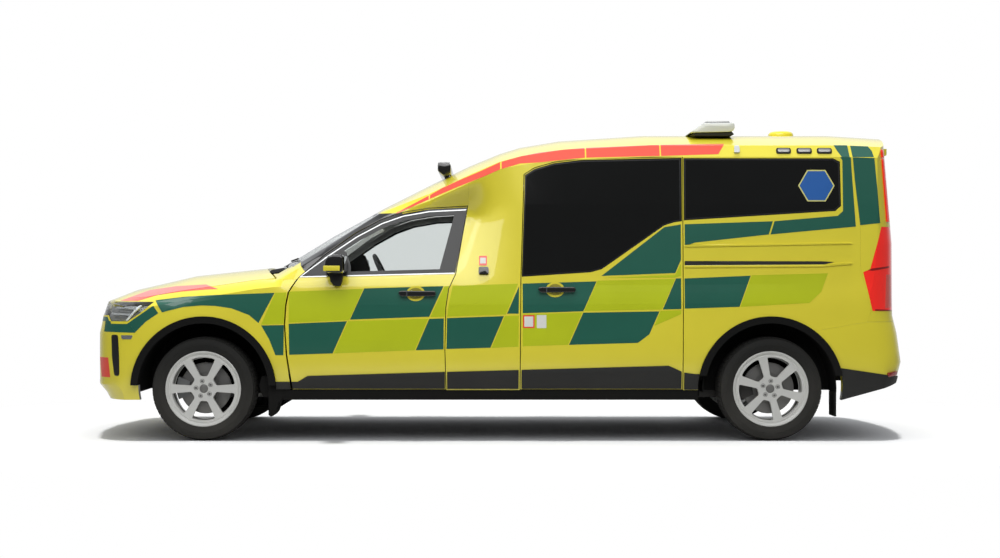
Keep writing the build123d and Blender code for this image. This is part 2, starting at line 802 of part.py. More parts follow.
# Rear bumper and the cladding along the sills and round the arches
BUMPER_UPSWEEP = [
    (-2455, 292),
    (-2870, 409),
    (-3200, 470),
    (-3200, 200),
    (-2455, 200),
]
with BuildPart() as rear_bumper:
    add(skin(0, WALL))
    add(side_prism(REAR_BUMPER, -1200, 1200), mode=Mode.INTERSECT)
    add(axle_round(REAR_AXLE, arch, -1300, 1300), mode=Mode.SUBTRACT)
    add(side_prism(BUMPER_UPSWEEP, -1300, 1300), mode=Mode.SUBTRACT)
    socket_from = (behind(REAR_OVERHANG - TOW_FLOOR), -TOW_Y, TOW_Z)
    add(rod(TOW_RADIUS, socket_from, (behind(REAR_OVERHANG + 20), -TOW_Y, TOW_Z)), mode=Mode.SUBTRACT)
save(main_solid(rear_bumper.part), "rear_bumper")

SILL_CLADDING = [
    (ahead(-500), BODY_BOTTOM),
    (ahead(-500), DOOR_BOTTOM - SHUT),
    (behind(-474), DOOR_BOTTOM - SHUT),
    (behind(-474), BODY_BOTTOM),
]
with BuildPart() as sill:
    add(left_skin)
    add(side_prism(SILL_CLADDING), mode=Mode.INTERSECT)
save(both_sides(main_solid(sill.part)), "sill_cladding")

ARCH_TRIM_PROUD = 10
with BuildPart() as arch_trim:
    for axle, low in TRIM_FOOT.items():
        add(axle_round(axle, ARCH_RADIUS + ARCH_TRIM, HALF_WIDTH - WALL, HALF_WIDTH + ARCH_TRIM_PROUD))
        add(axle_round(axle, ARCH_RADIUS, 800, 1100), mode=Mode.SUBTRACT)
        add(block((axle - 600, axle + 600), (800, 1100), (-400, low)), mode=Mode.SUBTRACT)
save(both_sides(arch_trim.part), "arch_trims")

# Floor, wheel housings and what stands on the floor
LINER_RADIUS = ARCH_RADIUS + LINER_GAP + LINER_WALL
LINER_INNER_Y = {FRONT_AXLE: 490, REAR_AXLE: 660}
LINER_SLOT = {FRONT_AXLE: (75, 620), REAR_AXLE: (90, 480)}
SILL_BEAM_Y = (766, 836)
DOOR_SWING_RELIEF = 100
SILL_BEAM_FOOT = 312
with BuildPart() as floor_pan:
    add(block((behind(940), ahead(-560)), (-1000, 1000), FLOOR_Z))
    add(envelope(WALL + SEAM), mode=Mode.INTERSECT)
    for axle, inner in LINER_INNER_Y.items():
        for side in (1, -1):
            hole = axle_round(axle, LINER_RADIUS, side * (inner - LINER_WALL), side * 1200)
            add(hole, mode=Mode.SUBTRACT)
    for side in (1, -1):
        sill_y = (side * SILL_BEAM_Y[0], side * SILL_BEAM_Y[1])
        add(block((ahead(-500), behind(-500)), sill_y, (SILL_BEAM_FOOT, FLOOR_Z[1])))
        swing_axis = (FRONT_HINGE_X, side * FRONT_HINGE_Y)
        add(rod(DOOR_SWING_RELIEF, (*swing_axis, 250), (*swing_axis, 600)), mode=Mode.SUBTRACT)
save(main_solid(floor_pan.part), "floor_pan")
with BuildPart(mode=Mode.PRIVATE) as bumper_corner:
    add(skin(0, WALL + SEAM))
    corner_z = (0, TRIM_FOOT[FRONT_AXLE] + SEAM)
    add(block((ahead(300), ahead(700)), (400, 1100), corner_z), mode=Mode.INTERSECT)
with BuildPart() as liner:
    for axle, inner in LINER_INNER_Y.items():
        outer = HALF_WIDTH - WALL - SEAM
        add(axle_round(axle, LINER_RADIUS, inner, outer))
        add(axle_round(axle, LINER_RADIUS - LINER_WALL, inner - 50, outer + 50), mode=Mode.SUBTRACT)
        add(axle_round(axle, LINER_RADIUS, inner - LINER_WALL, inner))
        half, top = LINER_SLOT[axle]
        add(block((axle - half, axle + half), (400, 700), (-400, top)), mode=Mode.SUBTRACT)
        add(block((axle - 600, axle + 600), (400, 1100), (-400, LINER_BOTTOM)), mode=Mode.SUBTRACT)
    add(bumper_corner.part, mode=Mode.SUBTRACT)
save(both_sides(liner.part), "wheel_housings")

# Cowl tray between bonnet and windscreen, with the bonnet's hinge pins
COWL_COVER = [
    (ahead(-372), 0),
    (ahead(-398), 350),
    (ahead(-448), 600),
    (ahead(-476), 680),
    (ahead(-580), 680),
    (ahead(-562), 600),
    (ahead(-518), 350),
    (ahead(-496), 0),
]
COWL_DEPTH = (14, 22)
with BuildPart(mode=Mode.PRIVATE) as cowl_cover:
    add(skin(*COWL_DEPTH))
    add(plan_prism(whole_ring(COWL_COVER)), mode=Mode.INTERSECT)
    for side in (1, -1):
        slot_y = [side * (y + grow) for y, grow in zip(BONNET_HINGE_Y, (-20, 20))]
        add(block((ahead(-700), ahead(-300)), slot_y, (1000, 1400)), mode=Mode.SUBTRACT)
with BuildPart(mode=Mode.PRIVATE) as cowl_ribs:
    for rib_y in (-440, 0, 440):
        add(block((ahead(-530), ahead(-420)), (rib_y - 6, rib_y + 6), (1070, 1400)))
    for side in (1, -1):
        add(block((ahead(-560), ahead(-470)), (side * 640, side * 652), (1070, 1400)))
    add(envelope(COWL_DEPTH[0] + 1), mode=Mode.INTERSECT)
with BuildPart() as cowl:
    add(block((ahead(-640), ahead(-400)), (-840, 840), (1060.4, 1074)))
    add(block((ahead(-640), ahead(-626)), (-800, 800), (1060.4, 1160)))
    add(envelope(WALL + 6), mode=Mode.INTERSECT)
    add(cowl_ribs.part)
    add(cowl_cover.part)
    for side in (1, -1):
        y_in, y_out = (side * y for y in BONNET_HINGE_Y)
        gap = side * 6
        for lug_from, lug_to in ((y_in - side * 16, y_in - gap), (y_out + gap, y_out + side * 16)):
            lug = block(
                (BONNET_AXIS_X - 14, BONNET_AXIS_X + 14),
                (lug_from, lug_to),
                (1070, BONNET_AXIS_Z + 12),
            )
            add(lug)
        start = (BONNET_AXIS_X, y_in - side * 16, BONNET_AXIS_Z)
        end = (BONNET_AXIS_X, y_out + side * 16, BONNET_AXIS_Z)
        add(rod(HINGE_PIN, start, end))
save(main_solid(cowl.part), "cowl_tray")

# Engine, front subframe with its arms, knuckles, rear axle
ENGINE_X = (ahead(-250), ahead(330))
SUBFRAME_Z = (250, 330)
save(block(ENGINE_X, (-250, 250), (SUBFRAME_Z[1] + SEAM, 960)), "engine_block")

hub_y = TRACK / 2
kingpin_y = hub_y - KINGPIN_INSET
upper_z = TYRE_RADIUS + KINGPIN_SPAN
lower_z = TYRE_RADIUS - KINGPIN_SPAN
with BuildPart() as front_subframe:
    rails_y = (TOWER_Y - 60, TOWER_Y)
    for side in (1, -1):
        rail_y = [side * y for y in rails_y]
        add(block((ahead(-640), ahead(FRONT_OVERHANG)), rail_y, (FLOOR_Z[0] - 50, FLOOR_Z[0] - SEAM)))
    add(envelope(WALL + SEAM), mode=Mode.INTERSECT)
    add(block((ahead(-60), ahead(60)), (-TOWER_Y, TOWER_Y), SUBFRAME_Z))
    for side in (1, -1):
        tower_y = [side * y for y in rails_y]
        add(block((ahead(-45), ahead(45)), tower_y, (lower_z - ARM_HEIGHT, upper_z + 60)))
        for z in (lower_z - ARM_HEIGHT, upper_z):
            arm_y = sorted((side * (TOWER_Y - 20), side * kingpin_y))
            arm_x = (ahead(-ARM_HALF_WIDTH), ahead(ARM_HALF_WIDTH))
            add(block(arm_x, arm_y, (z + 0.5 * (z > TYRE_RADIUS), z + ARM_HEIGHT - 0.5)))
            eye = (FRONT_AXLE, side * kingpin_y)
            add(rod(ARM_HALF_WIDTH, (*eye, z + 0.5 * (z > TYRE_RADIUS)), (*eye, z + ARM_HEIGHT - 0.5)))
        eye = (FRONT_AXLE, side * kingpin_y)
        add(rod(BALL_PIN_RADIUS, (*eye, lower_z - 10), (*eye, lower_z + 34)))
        add(rod(BALL_PIN_RADIUS, (*eye, upper_z - 34), (*eye, upper_z + 10)))
save(front_subframe.part, "front_subframe")

CALIPER_Y = (-24, 34)
CALIPER_RADIUS = 210
CALIPER_INNER = 118
with BuildPart() as caliper_left:
    add(axle_round(0, CALIPER_RADIUS, hub_y + CALIPER_Y[0], hub_y + CALIPER_Y[1]))
    add(axle_round(0, CALIPER_INNER, 0, 1200), mode=Mode.SUBTRACT)
    wedge = [(0, TYRE_RADIUS), (400, TYRE_RADIUS - 170), (400, TYRE_RADIUS + 170)]
    add(side_prism(wedge), mode=Mode.INTERSECT)
    add(
        axle_round(0, DISC_RADIUS + 5, hub_y - 15, hub_y + DISC_WIDTH - 5),
        mode=Mode.SUBTRACT,
    )
caliper = caliper_left.part
with BuildPart() as knuckle:
    add(rod(28, (0, kingpin_y, lower_z), (0, kingpin_y, upper_z)))
    add(block((-30, 30), (kingpin_y - 10, hub_y - 15), (TYRE_RADIUS - 60, TYRE_RADIUS + 60)))
    add(axle_round(0, SPINDLE_RADIUS, kingpin_y, hub_y + 96))
    add(block((10, 190), (kingpin_y + 2, hub_y - 16), (TYRE_RADIUS - 36, TYRE_RADIUS + 36)))
    add(caliper)
    for z_from, z_to in ((lower_z, lower_z + 36), (upper_z - 36, upper_z)):
        pin_hole = rod(BALL_PIN_RADIUS + PIN_FIT, (0, kingpin_y, z_from), (0, kingpin_y, z_to))
        add(pin_hole, mode=Mode.SUBTRACT)
knuckle_left = main_solid(knuckle.part)
knuckle_left = knuckle_left.moved(Location((FRONT_AXLE, 0, 0)))
save(knuckle_left, "knuckle_left")
save(right_hand(knuckle_left), "knuckle_right")

REAR_BEAM_RADIUS = 44
with BuildPart() as rear_axle:
    add(axle_round(REAR_AXLE, REAR_BEAM_RADIUS, -(hub_y - 60), hub_y - 60))
    add(axle_round(REAR_AXLE, SPINDLE_RADIUS, -(hub_y + 96), hub_y + 96))
    for side in (1, -1):
        with BuildPart(mode=Mode.PRIVATE) as rear_caliper:
            add(caliper.moved(Location((REAR_AXLE, 0, 0))))
            add(
                block(
                    (REAR_AXLE, REAR_AXLE + 190),
                    (hub_y - 70, hub_y - 16),
                    (TYRE_RADIUS - 36, TYRE_RADIUS + 36),
                )
            )
        add(rear_caliper.part if side == 1 else right_hand(rear_caliper.part))
        arm_y = sorted((side * 560, side * 620))
        add(block((REAR_AXLE - 30, behind(-620)), arm_y, (290, FLOOR_Z[0] - SEAM)))
save(rear_axle.part, "rear_axle")

# Wheels: an alloy rim with its hub and disc, and a tyre
with BuildPart() as rim_part:
    half = RIM_WIDTH / 2
    add(axle_round(0, RIM_RADIUS, hub_y - half, hub_y + half))
    for end in (-1, 1):
        lip = (hub_y + end * (half - 8), hub_y + end * half)
        add(axle_round(0, RIM_RADIUS + RIM_LIP, *lip))
    add(axle_round(0, RIM_RADIUS - RIM_WALL, 0, 1200), mode=Mode.SUBTRACT)
    add(axle_round(0, HUB_RADIUS, hub_y - 10, hub_y + 108))
    add(axle_round(0, DISC_RADIUS, hub_y - 10, hub_y - 10 + DISC_WIDTH))
    for k in range(SPOKES):
        angle = radians(360 / SPOKES * k)
        with BuildPart(mode=Mode.PRIVATE) as spoke:
            with BuildSketch(Plane.XZ.offset(-(hub_y + 74))):
                with BuildLine():
                    Polyline(
                        (-34, HUB_RADIUS - 12), (34, HUB_RADIUS - 12),
                        (24, RIM_RADIUS - 4), (-24, RIM_RADIUS - 4), close=True,
                    )
                make_face()
            extrude(amount=-34)
        turned = spoke.part.rotate(Axis.Y, degrees(angle))
        add(turned.moved(Location((0, 0, TYRE_RADIUS))))
    add(axle_round(0, SPINDLE_RADIUS + PIN_FIT, 0, hub_y + 97), mode=Mode.SUBTRACT)
rim = rim_part.part

with BuildPart() as tyre_part:
    with BuildSketch(Plane.YZ) as tyre_profile:
        bead = RIM_RADIUS + 0.5
        wide = TYRE_WIDTH / 2
        base_y = RIM_WIDTH / 2 - 8.5
        with BuildLine():
            left = [
                (hub_y + base_y, bead),
                (hub_y + base_y, bead + RIM_LIP + 6),
                (hub_y + wide, bead + 58),
                (hub_y + wide - 10, TYRE_RADIUS - 14),
                (hub_y + wide - 32, TYRE_RADIUS),
            ]
            right = [(2 * hub_y - y, z) for y, z in left]
            for run in (left, right):
                Line(run[0], run[1])
                ThreePointArc(run[1], run[2], run[3])
                Line(run[3], run[4])
            Line(left[4], right[4])
            Line(right[0], left[0])
        make_face()
    revolve(axis=Axis.Y)
tyre = tyre_part.part.moved(Location((0, 0, TYRE_RADIUS)))
for place, axle in (("front", FRONT_AXLE), ("rear", REAR_AXLE)):
    for piece, name in ((rim, "rim"), (tyre, "tyre")):
        left_piece = piece.moved(Location((axle, 0, 0)))
        save(left_piece, f"{name}_{place}_left")
        save(right_hand(left_piece), f"{name}_{place}_right")

# Cab fittings seen through the glass
SEAT_Y = 390
DASH_PROFILE = [
    (ahead(-1018), 860),
    (ahead(-1018), 980),
    (ahead(-968), 1090),
    (ahead(-848), 1140),
    (ahead(-698), 1120),
    (ahead(-698), 860),
]
with BuildPart() as dashboard:
    add(side_prism(DASH_PROFILE, -820, 820))
    add(block((ahead(-700), ahead(-640) - SEAM), (-600, 600), (1080, 1110)))
    add(envelope(WALL + 10), mode=Mode.INTERSECT)
save(main_solid(dashboard.part), "dashboard")

WHEEL_CENTRE = (ahead(-1268), SEAT_Y, 1190)
WHEEL_TILT = 25
HUB_DEPTH = 24
COLUMN_SPINDLE = 9
with BuildPart() as steering_wheel:
    with BuildSketch(Plane.XZ) as grip:
        with Locations((170, 0)):
            Circle(15)
    revolve(axis=Axis.Z)
    add(rod(34, (0, 0, -HUB_DEPTH), (0, 0, 4)))
    for angle in (0, 180, 270):
        c, s = cos(radians(angle)), sin(radians(angle))
        with BuildPart(mode=Mode.PRIVATE) as spoke:
            with Locations(Location((96 * c, 96 * s, -8), (0, 0, angle))):
                Box(150, 34, 14)
        add(spoke.part)
    bore_from, bore_to = (0, 0, -HUB_DEPTH - 1), (0, 0, -6)
    add(rod(COLUMN_SPINDLE + PIN_FIT, bore_from, bore_to), mode=Mode.SUBTRACT)
wheel_axis = Vector(-cos(radians(WHEEL_TILT)), 0, sin(radians(WHEEL_TILT)))
wheel_plane = Plane(origin=WHEEL_CENTRE, x_dir=(0, 1, 0), z_dir=wheel_axis)
save(steering_wheel.part.moved(wheel_plane.location), "steering_wheel")
COLUMN_LENGTH = 330
with BuildPart() as column:
    spindle_end = Vector(*WHEEL_CENTRE) - wheel_axis * 8
    start = Vector(*WHEEL_CENTRE) - wheel_axis * (HUB_DEPTH + 3)
    end = Vector(*WHEEL_CENTRE) - wheel_axis * COLUMN_LENGTH
    add(rod(30, tuple(start), tuple(end)))
    add(rod(COLUMN_SPINDLE, tuple(start), tuple(spindle_end)))
    add(dashboard.part, mode=Mode.SUBTRACT)
save(main_solid(column.part), "steering_column")

SEAT_PROFILE = [
    (ahead(-1838), 500),
    (ahead(-1808), 560),
    (ahead(-1818), 740),
    (ahead(-1908), 1240),
    (ahead(-1868), 1290),
    (ahead(-1798), 1290),
    (ahead(-1728), 1240),
    (ahead(-1678), 790),
    (ahead(-1288), 760),
    (ahead(-1248), 700),
    (ahead(-1268), 560),
    (ahead(-1328), 500),
]
with BuildPart() as seat:
    add(side_prism(SEAT_PROFILE, SEAT_Y - 250, SEAT_Y + 250))
    add(block((ahead(-1850), ahead(-1770)), (SEAT_Y - 130, SEAT_Y + 130), (1285, 1440)))
    add(block((ahead(-1800), ahead(-1330)), (SEAT_Y - 200, SEAT_Y + 200), (FLOOR_Z[1] + SEAM, 520)))
save(both_sides(seat.part), "front_seats")

BULKHEAD_X = (ahead(-1960), ahead(-1930))
with BuildPart() as bulkhead:
    add(block(BULKHEAD_X, (-1000, 1000), (FLOOR_Z[1] + SEAM, 2400)))
    add(envelope(WALL + SEAM), mode=Mode.INTERSECT)
    add(block((0, 400), (-300, 300), (1150, 1650)), mode=Mode.SUBTRACT)
save(main_solid(bulkhead.part), "bulkhead")

STRETCHER_X = (behind(250), behind(-1700))
with BuildPart() as stretcher:
    add(block(STRETCHER_X, (-290, 290), (640, 720)))
    add(block((behind(150), behind(-1600)), (-240, 240), (FLOOR_Z[1] + SEAM, 640.5)))
save(stretcher.part, "stretcher")

# Roof equipment
LIGHT_BAR_X = (behind(-193), behind(-543))
LIGHT_BAR_HALF = 650
LIGHT_BAR_Z = (2255, 2345)
with BuildPart() as light_bar:
    add(block(LIGHT_BAR_X, (-LIGHT_BAR_HALF, LIGHT_BAR_HALF), LIGHT_BAR_Z))
    fillet(light_bar.edges().filter_by(Axis.Y).group_by(Axis.Z)[-1], 40)
    for side in (1, -1):
        foot_y = sorted((side * 430, side * 530))
        add(block((LIGHT_BAR_X[0] + 60, LIGHT_BAR_X[1] - 60), foot_y, (2150, 2260)))
    add(envelope(-SEAM), mode=Mode.SUBTRACT)
save(main_solid(light_bar.part), "light_bar")

WORK_BAR_X = (ahead(-1770), ahead(-1690))
WORK_BAR_Z = (1990, 2045)
with BuildPart() as work_bar:
    add(block(WORK_BAR_X, (-450, 450), WORK_BAR_Z))
    for y in (-300, 0, 300):
        add(block((WORK_BAR_X[0] + 10, WORK_BAR_X[1] - 10), (y - 30, y + 30), (1850, 2000)))
    add(envelope(-SEAM), mode=Mode.SUBTRACT)
save(main_solid(work_bar.part), "work_lamp_bar")

DOME_X = behind(255)
with BuildPart() as dome:
    with Locations((DOME_X, 0, ROOF - 30)):
        Cylinder(98, 72, align=(Align.CENTER, Align.CENTER, Align.MIN))
    fillet(dome.edges().sort_by(Axis.Z)[-1], 30)
    add(envelope(-SEAM), mode=Mode.SUBTRACT)
save(main_solid(dome.part), "antenna_dome")

MUDFLAP_Z = (170, 345)
with BuildPart() as mudflaps:
    add(block((ahead(-486), ahead(-472)), (720, 900), MUDFLAP_Z))
    add(block((behind(472), behind(486)), (720, 900), MUDFLAP_Z))
save(both_sides(mudflaps.part), "mudflaps")
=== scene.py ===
"""Dresses the ambulance: finishes, livery, lamps, wheels, trim and cab around its fixed frame."""

import json
from math import asin, cos, pi, radians, sin

import bmesh
import bpy
from mathutils import Matrix, Vector
from mathutils.bvhtree import BVHTree
from mathutils.geometry import tessellate_polygon
from mathutils.kdtree import KDTree

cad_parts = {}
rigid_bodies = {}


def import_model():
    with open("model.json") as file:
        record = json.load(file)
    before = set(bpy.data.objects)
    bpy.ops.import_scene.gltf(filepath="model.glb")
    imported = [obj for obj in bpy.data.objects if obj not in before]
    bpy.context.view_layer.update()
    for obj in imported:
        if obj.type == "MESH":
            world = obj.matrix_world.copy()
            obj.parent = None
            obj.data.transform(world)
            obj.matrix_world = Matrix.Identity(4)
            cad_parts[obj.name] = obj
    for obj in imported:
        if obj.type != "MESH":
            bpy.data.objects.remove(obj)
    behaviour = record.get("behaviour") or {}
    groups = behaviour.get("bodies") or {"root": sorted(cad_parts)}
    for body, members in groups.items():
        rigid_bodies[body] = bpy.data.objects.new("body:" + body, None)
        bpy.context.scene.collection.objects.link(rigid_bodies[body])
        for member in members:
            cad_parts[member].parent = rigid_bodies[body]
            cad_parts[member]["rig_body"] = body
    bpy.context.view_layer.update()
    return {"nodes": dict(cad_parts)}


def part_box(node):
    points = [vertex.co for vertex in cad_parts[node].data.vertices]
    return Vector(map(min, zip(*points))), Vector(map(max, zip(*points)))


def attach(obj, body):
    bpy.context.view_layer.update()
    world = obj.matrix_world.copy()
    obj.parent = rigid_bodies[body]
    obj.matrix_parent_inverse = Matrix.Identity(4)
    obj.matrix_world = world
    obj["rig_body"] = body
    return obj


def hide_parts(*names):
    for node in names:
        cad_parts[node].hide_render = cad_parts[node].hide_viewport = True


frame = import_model()
scene = bpy.context.scene

# The studio: a plain pale floor that keeps the vehicle's shadow, soft lamps overhead and in front,
# and a camera abreast of the middle of the wheelbase, level with the wing mirrors' lower edge.
FRAME_WIDTH = 1000
PRINCIPAL_POINT = 487
FOCAL_PIXELS = 1525
SENSOR = 36
CAMERA_HEIGHT = 1.168
CAMERA_DISTANCE = 11

wheel_low, wheel_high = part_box("tyre_front_left")
rear_low, rear_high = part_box("tyre_rear_left")
TYRE_FACE = wheel_high.y
AXLE_Z = (wheel_low.z + wheel_high.z) / 2
AXLE_Y = (wheel_low.y + wheel_high.y) / 2
FRONT_AXLE = (wheel_low.x + wheel_high.x) / 2
REAR_AXLE = (rear_low.x + rear_high.x) / 2

camera_data = bpy.data.cameras.new("camera")
camera_data.sensor_width = SENSOR
camera_data.lens = FOCAL_PIXELS / FRAME_WIDTH * SENSOR
camera_data.shift_x = (FRAME_WIDTH / 2 - PRINCIPAL_POINT) / FRAME_WIDTH
camera = bpy.data.objects.new("camera", camera_data)
scene.collection.objects.link(camera)
camera.location = ((FRONT_AXLE + REAR_AXLE) / 2, TYRE_FACE + CAMERA_DISTANCE, CAMERA_HEIGHT)
camera.rotation_euler = (pi / 2, 0, pi)
scene.camera = camera

scene.view_settings.view_transform = "Standard"


def lamp(name, place, target, size, power):
    """A soft rectangular studio lamp that points at a target."""
    data = bpy.data.lights.new(name, "AREA")
    data.shape = "RECTANGLE"
    data.size, data.size_y = size
    data.energy = power
    light = bpy.data.objects.new(name, data)
    scene.collection.objects.link(light)
    light.location = place
    aim = Vector(target) - Vector(place)
    light.rotation_euler = aim.to_track_quat("-Z", "Y").to_euler()
    return light


lamp("lamp_overhead", (0, 0, 6.5), (0, 0, 0), (8, 3), 150).visible_glossy = False
front_lamps = [
    lamp("lamp_high_front", (0.5, 5.6, 6.2), (0, 0.5, 1.2), (10, 2.6), 210),
    lamp("lamp_front_side", (1.0, 9.2, 5.9), (0, 0, 0.9), (10, 2.6), 220),
    lamp("lamp_far_side", (-1, -8, 4.5), (0, 0, 0.9), (9, 3), 90),
]
front_lamps[2].visible_glossy = False
TOP_LIGHT = 1.7
TOP_LIGHT_ANGLE = radians(5)
top_data = bpy.data.lights.new("lamp_top", "SUN")
top_data.energy = TOP_LIGHT
top_data.angle = TOP_LIGHT_ANGLE
top_light = bpy.data.objects.new("lamp_top", top_data)
scene.collection.objects.link(top_light)
top_light.visible_glossy = False


def add_node(tree, kind, inputs, **settings):
    """A node with these settings, whose inputs are values or the outputs of other nodes."""
    made = tree.nodes.new(kind)
    for label, value in settings.items():
        setattr(made, label, value)
    for label, value in inputs.items():
        if isinstance(value, bpy.types.NodeSocket):
            tree.links.new(value, made.inputs[label])
        else:
            made.inputs[label].default_value = value
    return made


def smooth_range(tree, value, start, end, low=0.0, high=1.0):
    """A value that rises softly from low to high while another goes from start to end."""
    limits = {"From Min": start, "From Max": end, "To Min": low, "To Max": high, "Value": value}
    return add_node(tree, "ShaderNodeMapRange", limits, interpolation_type="SMOOTHSTEP").outputs[0]


def seen_directly(tree):
    """One where a ray comes from the camera or a window, and nothing where it lights."""
    path = tree.nodes.new("ShaderNodeLightPath")
    rays = {0: path.outputs["Is Camera Ray"], 1: path.outputs["Is Transmission Ray"]}
    return add_node(tree, "ShaderNodeMath", rays, operation="MAXIMUM").outputs[0]


def blank_tree(owner):
    """The node tree of a world or a material, emptied."""
    owner.use_nodes = True
    owner.node_tree.nodes.clear()
    return owner.node_tree


def mixed(tree, share, first, second):
    """A mix of two shaders."""
    return add_node(tree, "ShaderNodeMixShader", {0: share, 1: first.outputs[0], 2: second.outputs[0]})


scene.world = bpy.data.worlds.new("studio")
studio = blank_tree(scene.world)
place = studio.nodes.new("ShaderNodeTexCoord")
look = add_node(studio, "ShaderNodeSeparateXYZ", {0: place.outputs["Generated"]})
rise = smooth_range(studio, look.outputs["Z"], 0.12, 0.75, 0.16, 0.6)
far_wall = smooth_range(studio, look.outputs["Y"], -0.25, -0.95, 0.0, 0.55)
glow = add_node(studio, "ShaderNodeMath", {0: rise, 1: far_wall}, operation="ADD")
room = add_node(studio, "ShaderNodeBackground", {"Color": (0.95, 0.97, 1, 1), "Strength": glow.outputs[0]})
backdrop = add_node(studio, "ShaderNodeBackground", {"Color": (1, 1, 1, 1), "Strength": 1})
both = mixed(studio, seen_directly(studio), room, backdrop)
add_node(studio, "ShaderNodeOutputWorld", {"Surface": both.outputs[0]})

FLOOR_REACH = 12
FLOOR_PALENESS = 0.95
FLOOR_FADE_X, FLOOR_FADE_Y = 5.5, 3.4
floor_mesh = bpy.data.meshes.new("floor")
corners = [(sx * FLOOR_REACH, sy * FLOOR_REACH, 0) for sx, sy in ((-1, -1), (1, -1), (1, 1), (-1, 1))]
floor_mesh.from_pydata(corners, [], [(0, 1, 2, 3)])
floor = bpy.data.objects.new("floor", floor_mesh)
scene.collection.objects.link(floor)
floor_paint = bpy.data.materials.new("floor_paint")
ground = blank_tree(floor_paint)
matt = add_node(ground, "ShaderNodeBsdfDiffuse", {"Color": (0.6, 0.6, 0.59, 1)})
pale = add_node(ground, "ShaderNodeBsdfDiffuse", {"Color": (*[FLOOR_PALENESS] * 3, 1)})
seen = mixed(ground, seen_directly(ground), matt, pale)
place = ground.nodes.new("ShaderNodeTexCoord")
stretch = add_node(ground, "ShaderNodeVectorMath", {
    0: place.outputs["Object"], 1: (1 / FLOOR_FADE_X, 1 / FLOOR_FADE_Y, 0)}, operation="MULTIPLY")
reach = add_node(ground, "ShaderNodeVectorMath", {0: stretch.outputs[0]}, operation="LENGTH")
clear = ground.nodes.new("ShaderNodeBsdfTransparent")
edge = mixed(ground, smooth_range(ground, reach.outputs["Value"], 0.72, 1.0), seen, clear)
add_node(ground, "ShaderNodeOutputMaterial", {"Surface": edge.outputs[0]})
floor_mesh.materials.append(floor_paint)
flagged = bpy.data.collections.new("flagged_from_front_lamps")
flagged.objects.link(floor)
flagged.collection_objects[0].light_linking.link_state = "EXCLUDE"
for light in front_lamps:
    light.light_linking.receiver_collection = flagged

# The body: pressed and bonded panels in yellow lacquer. Each takes its form from its own panel of
# the frame, with the hemmed edges that a pressing has, so that the shut lines catch the light.
HEM_RADIUS = 0.0022
PANEL_GRID = 0.06
SMALL_FACE = 0.00002
SMOOTHING_REACH = 0.10
SAME_FORM = 0.87
SCOOP_TILT = 0.55
SCOOP_REAR, SCOOP_FRONT, SCOOP_INNER = 0.0, 0.82, 0.5
CREASE_ANGLE = radians(24)
ROAD_DUST = (0.26, 0.24, 0.21, 1)


def surface_group():
    """Fine wear for any finish: uneven colour, road dust low down, grain, and uneven gloss."""
    group = bpy.data.node_groups.new("fine_wear", "ShaderNodeTree")
    sockets = (
        ("Colour", "NodeSocketColor", (0.5, 0.5, 0.5, 1)),
        ("Unevenness", "NodeSocketFloat", 0.06),
        ("Dust", "NodeSocketFloat", 0.1),
        ("Roughness", "NodeSocketFloat", 0.3),
        ("Roughness Spread", "NodeSocketFloat", 0.06),
        ("Grain Scale", "NodeSocketFloat", 300.0),
        ("Grain Depth", "NodeSocketFloat", 0.0002),
    )
    for label, kind, value in sockets:
        socket = group.interface.new_socket(name=label, in_out="INPUT", socket_type=kind)
        socket.default_value = value
    for label, kind in (("Colour", "Color"), ("Roughness", "Float"), ("Normal", "Vector")):
        group.interface.new_socket(name=label, in_out="OUTPUT", socket_type=f"NodeSocket{kind}")
    given = group.nodes.new("NodeGroupInput").outputs
    place = group.nodes.new("ShaderNodeTexCoord").outputs["Object"]
    cloud = add_node(group, "ShaderNodeTexNoise", {"Scale": 3.1, "Detail": 5, "Vector": place}).outputs["Fac"]
    darker = add_node(group, "ShaderNodeMath", {0: 1, 1: given["Unevenness"]}, operation="SUBTRACT")
    shade = add_node(group, "ShaderNodeMapRange", {
        "From Min": 0.3, "From Max": 0.7, "Value": cloud, "To Min": darker.outputs[0], "To Max": 1})
    tone = add_node(group, "ShaderNodeVectorMath", {0: given["Colour"], "Scale": shade.outputs[0]},
                    operation="SCALE")
    height = add_node(group, "ShaderNodeSeparateXYZ", {0: place}).outputs["Z"]
    low = smooth_range(group, height, 0.75, 0.15)
    patchy = add_node(group, "ShaderNodeMath", {0: low, 1: cloud}, operation="MULTIPLY")
    amount = add_node(group, "ShaderNodeMath", {0: patchy.outputs[0], 1: given["Dust"]}, operation="MULTIPLY")
    dusty = add_node(group, "ShaderNodeMix", {}, data_type="RGBA")
    dusty.inputs["B"].default_value = ROAD_DUST
    group.links.new(amount.outputs[0], dusty.inputs["Factor"])
    group.links.new(tone.outputs[0], dusty.inputs["A"])
    spread = add_node(group, "ShaderNodeMath", {
        0: cloud, 1: given["Roughness Spread"], 2: given["Roughness"]}, operation="MULTIPLY_ADD")
    grain = add_node(group, "ShaderNodeTexNoise", {
        "Detail": 2, "Vector": place, "Scale": given["Grain Scale"]})
    bump = add_node(group, "ShaderNodeBump", {
        "Strength": 1, "Distance": given["Grain Depth"], "Height": grain.outputs["Fac"]})
    add_node(group, "NodeGroupOutput", {
        "Colour": dusty.outputs["Result"], "Roughness": spread.outputs[0], "Normal": bump.outputs[0]})
    return group


FINE_WEAR = surface_group()


